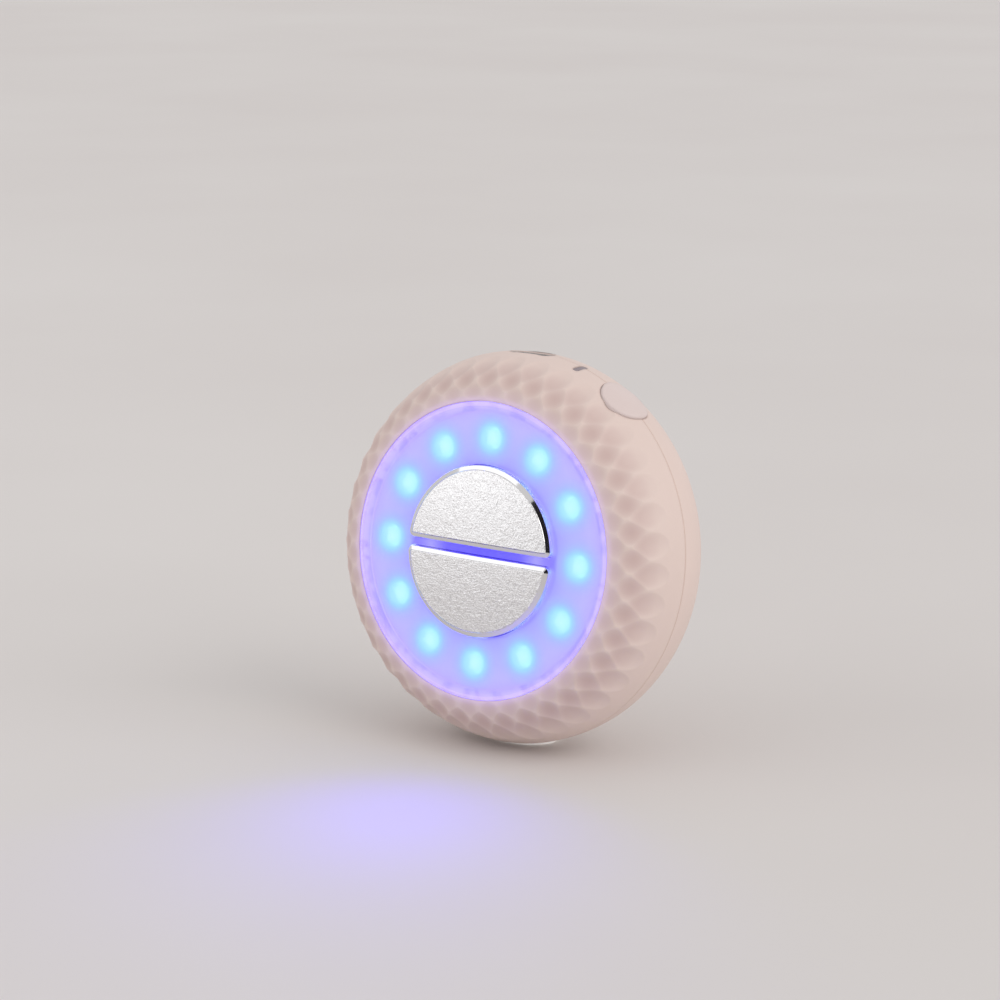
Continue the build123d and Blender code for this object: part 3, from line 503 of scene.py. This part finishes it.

# Stand pad: clear silicone, a little milky, glued under the rear shell.
# It shows as a pale crescent where it meets the table, brightened by a faint painted glow that stands in for
# the light it gathers.
milk_per_metre = 300.0  # clouds 3 mm wide
clear_silicone, tree, shader, place = new_material("clear_silicone")
haze = add_node(tree, "ShaderNodeTexNoise", {"Vector": place, "Scale": milk_per_metre})
haze_and_painted_glow = add_node(tree, "ShaderNodeValToRGB", {"Fac": haze.outputs["Fac"]}, stops=(
    (0.3, linear("F4F0EC")), (0.7, linear("FAF8F6")),
))
tree.links.new(haze_and_painted_glow.outputs["Color"], shader.inputs["Base Color"])
# Painted glow: the pad's own pale colour, emitted faintly.
tree.links.new(haze_and_painted_glow.outputs["Color"], shader.inputs["Emission Color"])
shader.inputs["Emission Strength"].default_value = 0.2
shader.inputs["Roughness"].default_value = 0.25
shader.inputs["IOR"].default_value = 1.41
dress(clear_silicone, "stand_pad")

# Seam seal: a thin ring of grey silicone, compression moulded, between the two shells.
# It has a dull skin with soft flow marks.
flow_marks_per_metre = 350.0  # 3 mm wide
grey_silicone, tree, shader, place = new_material("moulded_silicone")
flow = add_node(tree, "ShaderNodeTexNoise", {
    "Vector": place, "Scale": flow_marks_per_metre, "Distortion": 1.5,
})
flow_shade = add_node(tree, "ShaderNodeValToRGB", {"Fac": flow.outputs["Fac"]}, stops=(
    (0.35, linear("8B8788")), (0.7, linear("A09C9C")),
))
tree.links.new(flow_shade.outputs["Color"], shader.inputs["Base Color"])
shader.inputs["Roughness"].default_value = 0.6
shader.inputs["IOR"].default_value = 1.41
dress(grey_silicone, "seam_seal")

# Lamp board: glass-fibre laminate under white solder mask, with two ring tracks that join the lamps.
# The tracks stand out a little under the mask, and the sawn edge shows the bare laminate.
# Its front is flooded by the lamps inside the reflector's pockets.
mask_mottles_per_metre = 900.0  # 1.1 mm wide
white_mask, tree, shader, place = new_material("white_masked_laminate")
tree.links.new(lamp_glow(tree, place, low=8.5, high=8.7), shader.inputs["Emission Color"])
shader.inputs["Emission Strength"].default_value = 0.45
radius, _ = polar(tree, device_place(tree, place, 0.0))
ring_track = 2.2
track_half_width = 0.35
board_edge = 29.2
off_ring = add_node(tree, "ShaderNodeMath", {0: radius, 1: lamp_ring}, operation="SUBTRACT")
ring_gap = add_node(tree, "ShaderNodeMath", {0: off_ring.outputs["Value"]}, operation="ABSOLUTE")
track = add_node(tree, "ShaderNodeMath", {
    0: ring_gap.outputs["Value"], 1: ring_track, 2: track_half_width,
}, operation="COMPARE")
weave = add_node(tree, "ShaderNodeTexNoise", {
    "Vector": place, "Scale": mask_mottles_per_metre, "Detail": 2.0,
})
mask_shade = add_node(tree, "ShaderNodeValToRGB", {"Fac": weave.outputs["Fac"]}, stops=(
    (0.3, linear("E2E4E2")), (0.7, linear("EEF0EE")),
))
track_shade = add_node(tree, "ShaderNodeMix", {
    "Factor": track.outputs["Value"], "A": mask_shade.outputs["Color"], "B": linear("D8D6CC"),
}, data_type="RGBA")
sawn = add_node(tree, "ShaderNodeMath", {0: radius, 1: board_edge}, operation="GREATER_THAN")
board_shade = add_node(tree, "ShaderNodeMix", {
    "Factor": sawn.outputs["Value"], "A": track_shade.outputs["Result"], "B": linear("C9B98A"),
}, data_type="RGBA")
relief = add_node(tree, "ShaderNodeBump", {
    "Height": track.outputs["Value"], "Strength": 0.4, "Distance": 0.00004,
})
tree.links.new(board_shade.outputs["Result"], shader.inputs["Base Color"])
tree.links.new(relief.outputs["Normal"], shader.inputs["Normal"])
shader.inputs["Roughness"].default_value = 0.35
dress(white_mask, "led_board")

# Main board and side board: glass-fibre laminate under green solder mask.
# Copper tracks run under the mask, up in some fields and across in others.
# A wave texture at scale 1 repeats every tau / 20 units, so a scale is that over a pitch in millimetres.
track_pitch = 0.9
wave_period = math.tau / 20
track_scale = wave_period / track_pitch
fields_per_millimetre = 0.16  # 6 mm wide
green_mask, tree, shader, place = new_material("green_masked_laminate")
spot = device_place(tree, place, 0.0)
across = add_node(tree, "ShaderNodeTexWave", {"Vector": spot, "Scale": track_scale}, bands_direction="X")
upward = add_node(tree, "ShaderNodeTexWave", {"Vector": spot, "Scale": track_scale}, bands_direction="Y")
field = add_node(tree, "ShaderNodeTexVoronoi", {
    "Vector": spot, "Scale": fields_per_millimetre,
}, distance="MANHATTAN")
field_side = add_node(tree, "ShaderNodeSeparateColor", {"Color": field.outputs["Color"]})
turned = add_node(tree, "ShaderNodeMath", {0: field_side.outputs["Red"], 1: 0.5}, operation="GREATER_THAN")
track = add_node(tree, "ShaderNodeMix", {
    "Factor": turned.outputs["Value"], "A": across.outputs["Fac"], "B": upward.outputs["Fac"],
})
track_shade = add_node(tree, "ShaderNodeValToRGB", {"Fac": track.outputs["Result"]}, stops=(
    (0.62, linear("1C5636")), (0.72, linear("2F7A4C")),
))
relief = add_node(tree, "ShaderNodeBump", {
    "Height": track.outputs["Result"], "Strength": 0.3, "Distance": 0.00004,
})
tree.links.new(track_shade.outputs["Color"], shader.inputs["Base Color"])
tree.links.new(relief.outputs["Normal"], shader.inputs["Normal"])
shader.inputs["Roughness"].default_value = 0.3
dress(green_mask, "main_board", "side_board")

# Screws: cold-headed wire with rolled threads, in nickel-plated steel, and brass for the electrodes.
# The threads lie square to the device axis.
thread_pitch = 0.5
thread_scale = wave_period / thread_pitch
for finish, dark, bright, names in (
    ("nickel_plated_steel_screw", "A9A7A2", "C6C4C0", ("face_screws", "frame_screws", "board_screws")),
    ("brass_screw", "B0904E", "CDAF6C", ("electrode_screws",)),
):
    screw_metal, tree, shader, place = new_material(finish)
    spot = device_place(tree, place, 0.0)
    thread = add_node(tree, "ShaderNodeTexWave", {"Vector": spot, "Scale": thread_scale}, bands_direction="Z")
    thread_shade = add_node(tree, "ShaderNodeValToRGB", {"Fac": thread.outputs["Fac"]}, stops=(
        (0.2, linear(dark)), (0.8, linear(bright)),
    ))
    relief = add_node(tree, "ShaderNodeBump", {
        "Height": thread.outputs["Fac"], "Strength": 0.6, "Distance": 0.0001,
    })
    tree.links.new(thread_shade.outputs["Color"], shader.inputs["Base Color"])
    tree.links.new(relief.outputs["Normal"], shader.inputs["Normal"])
    shader.inputs["Metallic"].default_value = 1.0
    shader.inputs["Roughness"].default_value = 0.3
    dress(screw_metal, *names)

# Push switch: a black nylon base under a stamped steel cover.
# Four black rivets at the corners of the cover hold it on.
switch_turn = math.radians(35)
cover_start = 27.75
rivet_corner = (1.7, 0, 1.7)
rivet_radius = 0.3
roll_marks_per_metre = 2500.0  # 0.4 mm wide
switch_cover, tree, shader, place = new_material("nylon_under_stamped_steel")
side_spot = add_node(tree, "ShaderNodeVectorRotate", {
    "Vector": device_place(tree, place, 0.0), "Angle": switch_turn,
}, rotation_type="Z_AXIS")
side_place = add_node(tree, "ShaderNodeSeparateXYZ", {"Vector": side_spot.outputs["Vector"]})
on_cover = add_node(tree, "ShaderNodeMath", {
    0: side_place.outputs["Y"], 1: cover_start,
}, operation="GREATER_THAN")
flat_spot = add_node(tree, "ShaderNodeVectorMath", {
    0: side_spot.outputs["Vector"], 1: (1, 0, 1),
}, operation="MULTIPLY")
quarter = add_node(tree, "ShaderNodeVectorMath", {0: flat_spot.outputs["Vector"]}, operation="ABSOLUTE")
rivet_gap = add_node(tree, "ShaderNodeVectorMath", {
    0: quarter.outputs["Vector"], 1: rivet_corner,
}, operation="DISTANCE")
off_rivet = add_node(tree, "ShaderNodeMath", {
    0: rivet_gap.outputs["Value"], 1: rivet_radius,
}, operation="GREATER_THAN")
steel = add_node(tree, "ShaderNodeMath", {
    0: on_cover.outputs["Value"], 1: off_rivet.outputs["Value"],
}, operation="MULTIPLY")
rolled = add_node(tree, "ShaderNodeTexNoise", {"Vector": place, "Scale": roll_marks_per_metre})
rolled_shade = add_node(tree, "ShaderNodeValToRGB", {"Fac": rolled.outputs["Fac"]}, stops=(
    (0.3, linear("B4B4B2")), (0.7, linear("C8C8C6")),
))
switch_shade = add_node(tree, "ShaderNodeMix", {
    "Factor": steel.outputs["Value"], "A": linear("222224"), "B": rolled_shade.outputs["Color"],
}, data_type="RGBA")
tree.links.new(switch_shade.outputs["Result"], shader.inputs["Base Color"])
tree.links.new(steel.outputs["Value"], shader.inputs["Metallic"])
shader.inputs["Roughness"].default_value = 0.4
dress(switch_cover, "tact_switch")

# Plunger: turned from white acetal rod, waxy and faintly mottled.
# It stands in the switch, under the button's stem, and goes in with the button.
wax_mottles_per_metre = 1200.0  # 0.8 mm wide
acetal, tree, shader, place = new_material("turned_acetal")
wax = add_node(tree, "ShaderNodeTexNoise", {
    "Vector": place, "Scale": wax_mottles_per_metre, "Detail": 3.0,
})
acetal_shade = add_node(tree, "ShaderNodeValToRGB", {"Fac": wax.outputs["Fac"]}, stops=(
    (0.3, linear("E4E2DA")), (0.7, linear("F0EEE8")),
))
tree.links.new(acetal_shade.outputs["Color"], shader.inputs["Base Color"])
shader.inputs["Roughness"].default_value = 0.35
shader.inputs["IOR"].default_value = 1.48
dress(acetal, "switch_plunger")

# Pins: drawn square brass wire, gold plated, with a faint mottle from the bath.
# They are soldered on the main board and butt against the side board.
bath_mottles_per_metre = 2000.0  # 0.5 mm wide
gold_plate, tree, shader, place = new_material("gold_plated_brass")
drawn = add_node(tree, "ShaderNodeTexNoise", {"Vector": place, "Scale": bath_mottles_per_metre})
drawn_shade = add_node(tree, "ShaderNodeValToRGB", {"Fac": drawn.outputs["Fac"]}, stops=(
    (0.3, linear("D2AA52")), (0.7, linear("E6C470")),
))
tree.links.new(drawn_shade.outputs["Color"], shader.inputs["Base Color"])
shader.inputs["Metallic"].default_value = 1.0
shader.inputs["Roughness"].default_value = 0.25
dress(gold_plate, "side_pins")

# Indicator lamp: a small package of white moulding compound with a hazy clear top, unlit.
# It is soldered to the side board, behind the smoked light pipe.
haze_per_metre = 1500.0  # spots 0.7 mm wide
moulded_lamp, tree, shader, place = new_material("moulded_lamp_package")
haze = add_node(tree, "ShaderNodeTexNoise", {"Vector": place, "Scale": haze_per_metre})
haze_shade = add_node(tree, "ShaderNodeValToRGB", {"Fac": haze.outputs["Fac"]}, stops=(
    (0.3, linear("E6E4DA")), (0.7, linear("F2F0E8")),
))
tree.links.new(haze_shade.outputs["Color"], shader.inputs["Base Color"])
shader.inputs["Roughness"].default_value = 0.4
dress(moulded_lamp, "indicator_led")

# Charging socket: deep-drawn stainless steel, with fine draw lines along its depth.
# It sits on the main board's tongue, and its mouth opens in the recess on the seam.
draw_lines_per_millimetre = (6.0, 0.3, 6.0)
drawn_steel, tree, shader, place = new_material("deep_drawn_stainless_steel")
stretched = add_node(tree, "ShaderNodeVectorMath", {
    0: device_place(tree, place, 0.0), 1: draw_lines_per_millimetre,
}, operation="MULTIPLY")
draw_lines = add_node(tree, "ShaderNodeTexNoise", {
    "Vector": stretched.outputs["Vector"], "Scale": 1.0, "Detail": 3.0,
})
draw_shade = add_node(tree, "ShaderNodeValToRGB", {"Fac": draw_lines.outputs["Fac"]}, stops=(
    (0.3, linear("BEBEC0")), (0.7, linear("D2D2D4")),
))
relief = add_node(tree, "ShaderNodeBump", {
    "Height": draw_lines.outputs["Fac"], "Strength": 0.2, "Distance": 0.00002,
})
tree.links.new(draw_shade.outputs["Color"], shader.inputs["Base Color"])
tree.links.new(relief.outputs["Normal"], shader.inputs["Normal"])
shader.inputs["Metallic"].default_value = 1.0
shader.inputs["Roughness"].default_value = 0.35
dress(drawn_steel, "charging_socket")

# Contact tongue: black liquid-crystal polymer, moulded round twelve gold contacts on each side.
# It stands in the middle of the socket, with the contacts along it.
contact_pitch = 0.5
contact_scale = wave_period / contact_pitch
contact_tongue, tree, shader, place = new_material("black_polymer_with_gold_contacts")
stripes = add_node(tree, "ShaderNodeTexWave", {
    "Vector": device_place(tree, place, 0.0), "Scale": contact_scale,
}, bands_direction="X")
gold = add_node(tree, "ShaderNodeMath", {0: stripes.outputs["Fac"], 1: 0.5}, operation="GREATER_THAN")
contact_shade = add_node(tree, "ShaderNodeMix", {
    "Factor": gold.outputs["Value"], "A": linear("1E1E20"), "B": linear("D9B45C"),
}, data_type="RGBA")
tree.links.new(contact_shade.outputs["Result"], shader.inputs["Base Color"])
tree.links.new(gold.outputs["Value"], shader.inputs["Metallic"])
shader.inputs["Roughness"].default_value = 0.3
dress(contact_tongue, "socket_tongue")

# Chassis: glass-filled ABS, injection moulded in dark grey, with a dull skin.
# Short fibres show as pale specks, drawn coarser than they are so that they can be seen.
fibres_per_metre = 1400.0  # 0.7 mm long
filled_abs, tree, shader, place = new_material("glass_filled_abs")
fibres = add_node(tree, "ShaderNodeTexNoise", {
    "Vector": place, "Scale": fibres_per_metre, "Detail": 4.0, "Roughness": 0.7,
})
fibre_shade = add_node(tree, "ShaderNodeValToRGB", {"Fac": fibres.outputs["Fac"]}, stops=(
    (0.45, linear("4A4B4E")), (0.62, linear("5C5D60")), (0.74, linear("7C7D80")),
))
relief = add_node(tree, "ShaderNodeBump", {
    "Height": fibres.outputs["Fac"], "Strength": 0.15, "Distance": 0.00003,
})
tree.links.new(fibre_shade.outputs["Color"], shader.inputs["Base Color"])
tree.links.new(relief.outputs["Normal"], shader.inputs["Normal"])
shader.inputs["Roughness"].default_value = 0.55
dress(filled_abs, "chassis")

# Chips: black epoxy moulding compound, with tinned leads showing at the foot of each side.
# They are soldered to the front of the main board.
board_front = 2.83
lead_height = 0.25
leads_per_millimetre = 2.5  # 0.4 mm wide
epoxy_grains_per_metre = 3000.0  # 0.3 mm wide, coarser than they are
black_epoxy, tree, shader, place = new_material("black_epoxy_with_tinned_leads")
spot = device_place(tree, place, board_front)
chip_place = add_node(tree, "ShaderNodeSeparateXYZ", {"Vector": spot})
at_foot = add_node(tree, "ShaderNodeMath", {
    0: chip_place.outputs["Z"], 1: lead_height,
}, operation="LESS_THAN")
lead_rows = add_node(tree, "ShaderNodeTexChecker", {
    "Vector": spot, "Scale": leads_per_millimetre, "Color1": (1, 1, 1, 1), "Color2": (0, 0, 0, 1),
})
tinned = add_node(tree, "ShaderNodeMath", {
    0: at_foot.outputs["Value"], 1: lead_rows.outputs["Fac"],
}, operation="MULTIPLY")
filler = add_node(tree, "ShaderNodeTexNoise", {
    "Vector": place, "Scale": epoxy_grains_per_metre, "Detail": 2.0,
})
filler_shade = add_node(tree, "ShaderNodeValToRGB", {"Fac": filler.outputs["Fac"]}, stops=(
    (0.3, linear("1F1F21")), (0.7, linear("2C2C2E")),
))
chip_shade = add_node(tree, "ShaderNodeMix", {
    "Factor": tinned.outputs["Value"], "A": filler_shade.outputs["Color"], "B": linear("BDBDBB"),
}, data_type="RGBA")
tree.links.new(chip_shade.outputs["Result"], shader.inputs["Base Color"])
tree.links.new(tinned.outputs["Value"], shader.inputs["Metallic"])
shader.inputs["Roughness"].default_value = 0.5
dress(black_epoxy, "control_chips")

# Boost coil and transformer: pressed and fired ferrite, dark and finely grained.
# The transformer's waist is wound with yellow polyester tape over its wire.
# The grain is drawn coarser than it is, so that it can be seen.
ferrite_grains_per_metre = 2200.0  # 0.45 mm wide


def ferrite_grit(tree, place):
    """The grain of fired ferrite and its dark grey"""
    grit = add_node(tree, "ShaderNodeTexNoise", {
        "Vector": place, "Scale": ferrite_grains_per_metre, "Detail": 3.0,
    })
    shade = add_node(tree, "ShaderNodeValToRGB", {"Fac": grit.outputs["Fac"]}, stops=(
        (0.3, linear("37363A")), (0.7, linear("4A494E")),
    ))
    return grit.outputs["Fac"], shade.outputs["Color"]


ferrite, tree, shader, place = new_material("fired_ferrite")
grain, ferrite_shade = ferrite_grit(tree, place)
relief = add_node(tree, "ShaderNodeBump", {"Height": grain, "Strength": 0.3, "Distance": 0.00003})
tree.links.new(ferrite_shade, shader.inputs["Base Color"])
tree.links.new(relief.outputs["Normal"], shader.inputs["Normal"])
shader.inputs["Roughness"].default_value = 0.6
dress(ferrite, "boost_coil")

waist_middle = 4.43
waist_half_height = 0.52
taped_ferrite, tree, shader, place = new_material("ferrite_with_polyester_tape")
core_place = add_node(tree, "ShaderNodeSeparateXYZ", {
    "Vector": device_place(tree, place, waist_middle),
})
waist = add_node(tree, "ShaderNodeMath", {
    0: core_place.outputs["Z"], 1: 0.0, 2: waist_half_height,
}, operation="COMPARE")
_, ferrite_shade = ferrite_grit(tree, place)
core_shade = add_node(tree, "ShaderNodeMix", {
    "Factor": waist.outputs["Value"], "A": ferrite_shade, "B": linear("E3BE3A"),
}, data_type="RGBA")
tree.links.new(core_shade.outputs["Result"], shader.inputs["Base Color"])
shader.inputs["Roughness"].default_value = 0.45
dress(taped_ferrite, "pulse_transformer")

# Header: black nylon blocks in a row, moulded as one strip and parted by shallow notches.
# Their pitch is the usual tenth of an inch.
notch_pitch = 2.54
notch_scale = wave_period / notch_pitch
header_nylon, tree, shader, place = new_material("moulded_black_nylon")
notches = add_node(tree, "ShaderNodeTexWave", {
    "Vector": device_place(tree, place, 0.0), "Scale": notch_scale,
}, bands_direction="X")
notch_shade = add_node(tree, "ShaderNodeValToRGB", {"Fac": notches.outputs["Fac"]}, stops=(
    (0.04, linear("101011")), (0.12, linear("28282A")),
))
tree.links.new(notch_shade.outputs["Color"], shader.inputs["Base Color"])
shader.inputs["Roughness"].default_value = 0.45
dress(header_nylon, "pin_header")

# Battery: a pouch of aluminium laminate, deep drawn, with a fine matt emboss.
# Amber tape covers the end where the leads come out.
tape_start = 2.5
embosses_per_millimetre = 1.6  # 0.6 mm wide
laminate, tree, shader, place = new_material("aluminium_laminate_pouch")
cell_spot = device_place(tree, place, 0.0)
cell_place = add_node(tree, "ShaderNodeSeparateXYZ", {"Vector": cell_spot})
taped = add_node(tree, "ShaderNodeMath", {
    0: cell_place.outputs["Y"], 1: tape_start,
}, operation="GREATER_THAN")
emboss = add_node(tree, "ShaderNodeTexNoise", {
    "Vector": cell_spot, "Scale": embosses_per_millimetre, "Detail": 3.0,
})
foil_shade = add_node(tree, "ShaderNodeValToRGB", {"Fac": emboss.outputs["Fac"]}, stops=(
    (0.3, linear("B2B4B6")), (0.7, linear("C6C8CA")),
))
cell_shade = add_node(tree, "ShaderNodeMix", {
    "Factor": taped.outputs["Value"], "A": foil_shade.outputs["Color"], "B": linear("C98A2A"),
}, data_type="RGBA")
foil = add_node(tree, "ShaderNodeMapRange", {
    "Value": taped.outputs["Value"], "To Min": 0.85, "To Max": 0.0,
})
relief = add_node(tree, "ShaderNodeBump", {
    "Height": emboss.outputs["Fac"], "Strength": 0.25, "Distance": 0.00008,
})
tree.links.new(cell_shade.outputs["Result"], shader.inputs["Base Color"])
tree.links.new(foil.outputs["Result"], shader.inputs["Metallic"])
tree.links.new(relief.outputs["Normal"], shader.inputs["Normal"])
shader.inputs["Roughness"].default_value = 0.42
dress(laminate, "battery_cell")

# Battery tape: white EVA foam, closed-cell, sticky on both sides.
# It holds the pouch in the chassis's tray.
foam_cells_per_metre = 3500.0  # 0.3 mm wide
eva_foam, tree, shader, place = new_material("closed_cell_eva_foam")
bubbles = add_node(tree, "ShaderNodeTexVoronoi", {"Vector": place, "Scale": foam_cells_per_metre})
bubble_shade = add_node(tree, "ShaderNodeValToRGB", {"Fac": bubbles.outputs["Distance"]}, stops=(
    (0.1, linear("CFCDC8")), (0.6, linear("EAE8E4")),
))
relief = add_node(tree, "ShaderNodeBump", {
    "Height": bubbles.outputs["Distance"], "Strength": 0.4, "Distance": 0.0001,
})
tree.links.new(bubble_shade.outputs["Color"], shader.inputs["Base Color"])
tree.links.new(relief.outputs["Normal"], shader.inputs["Normal"])
shader.inputs["Roughness"].default_value = 0.85
dress(eva_foam, "battery_pad")

# Leads: stranded wire in silicone, one red and one black in each pair.
# The battery's pair lies side by side, and the motor's one above the other.
dust_per_metre = 1800.0  # specks 0.6 mm wide
for finish, axis, middle, name in (
    ("silicone_battery_lead", "X", 12.0, "battery_leads"),
    ("silicone_motor_lead", "Y", 14.0, "motor_leads"),
):
    lead_jacket, tree, shader, place = new_material(finish)
    lead_place = add_node(tree, "ShaderNodeSeparateXYZ", {"Vector": device_place(tree, place, 0.0)})
    red = add_node(tree, "ShaderNodeMath", {0: lead_place.outputs[axis], 1: middle}, operation="GREATER_THAN")
    dust = add_node(tree, "ShaderNodeTexNoise", {
        "Vector": place, "Scale": dust_per_metre, "Detail": 2.0,
    })
    red_shade = add_node(tree, "ShaderNodeValToRGB", {"Fac": dust.outputs["Fac"]}, stops=(
        (0.3, linear("A82420")), (0.7, linear("C0342E")),
    ))
    black_shade = add_node(tree, "ShaderNodeValToRGB", {"Fac": dust.outputs["Fac"]}, stops=(
        (0.3, linear("202022")), (0.7, linear("303032")),
    ))
    lead_shade = add_node(tree, "ShaderNodeMix", {
        "Factor": red.outputs["Value"], "A": black_shade.outputs["Color"], "B": red_shade.outputs["Color"],
    }, data_type="RGBA")
    tree.links.new(lead_shade.outputs["Result"], shader.inputs["Base Color"])
    shader.inputs["Roughness"].default_value = 0.5
    shader.inputs["IOR"].default_value = 1.41
    dress(lead_jacket, name)

# Motor: a deep-drawn steel can, nickel plated, with faint rings from the draw.
# Its shaft is ground steel, and its weight pressed and sintered tungsten.
# The rings are 0.4 mm apart on the can, and the grinding marks 0.1 mm on the shaft.
for finish, dark, bright, gloss, ring_scale, name in (
    ("nickel_plated_motor_can", "9C9C9E", "BCBCBE", 0.28, 0.8, "motor_case"),
    ("ground_steel_shaft", "B6B6B8", "CECED0", 0.18, 3.0, "motor_shaft"),
):
    can_metal, tree, shader, place = new_material(finish)
    rings = add_node(tree, "ShaderNodeTexWave", {
        "Vector": device_place(tree, place, 0.0), "Scale": ring_scale, "Distortion": 0.6,
    }, bands_direction="X")
    ring_shade = add_node(tree, "ShaderNodeValToRGB", {"Fac": rings.outputs["Fac"]}, stops=(
        (0.2, linear(dark)), (0.8, linear(bright)),
    ))
    tree.links.new(ring_shade.outputs["Color"], shader.inputs["Base Color"])
    shader.inputs["Metallic"].default_value = 1.0
    shader.inputs["Roughness"].default_value = gloss
    dress(can_metal, name)

tungsten_grains_per_metre = 2600.0  # 0.4 mm wide, coarser than they are
tungsten, tree, shader, place = new_material("sintered_tungsten")
grit = add_node(tree, "ShaderNodeTexNoise", {
    "Vector": place, "Scale": tungsten_grains_per_metre, "Detail": 4.0, "Roughness": 0.7,
})
grit_shade = add_node(tree, "ShaderNodeValToRGB", {"Fac": grit.outputs["Fac"]}, stops=(
    (0.3, linear("6E6C6A")), (0.7, linear("8E8C8A")),
))
relief = add_node(tree, "ShaderNodeBump", {
    "Height": grit.outputs["Fac"], "Strength": 0.4, "Distance": 0.00004,
})
tree.links.new(grit_shade.outputs["Color"], shader.inputs["Base Color"])
tree.links.new(relief.outputs["Normal"], shader.inputs["Normal"])
shader.inputs["Metallic"].default_value = 1.0
shader.inputs["Roughness"].default_value = 0.45
dress(tungsten, "eccentric_weight")

# Motor mount: a block of black rubber, moulded with a dull skin, that holds the can in its bore.
# A faint bloom of sulphur greys it.
blooms_per_metre = 600.0  # 1.7 mm wide
black_rubber, tree, shader, place = new_material("moulded_black_rubber")
bloom = add_node(tree, "ShaderNodeTexNoise", {
    "Vector": place, "Scale": blooms_per_metre, "Detail": 4.0,
})
bloom_shade = add_node(tree, "ShaderNodeValToRGB", {"Fac": bloom.outputs["Fac"]}, stops=(
    (0.3, linear("1D1D1E")), (0.7, linear("2B2B2C")),
))
tree.links.new(bloom_shade.outputs["Color"], shader.inputs["Base Color"])
shader.inputs["Roughness"].default_value = 0.75
dress(black_rubber, "motor_mount")
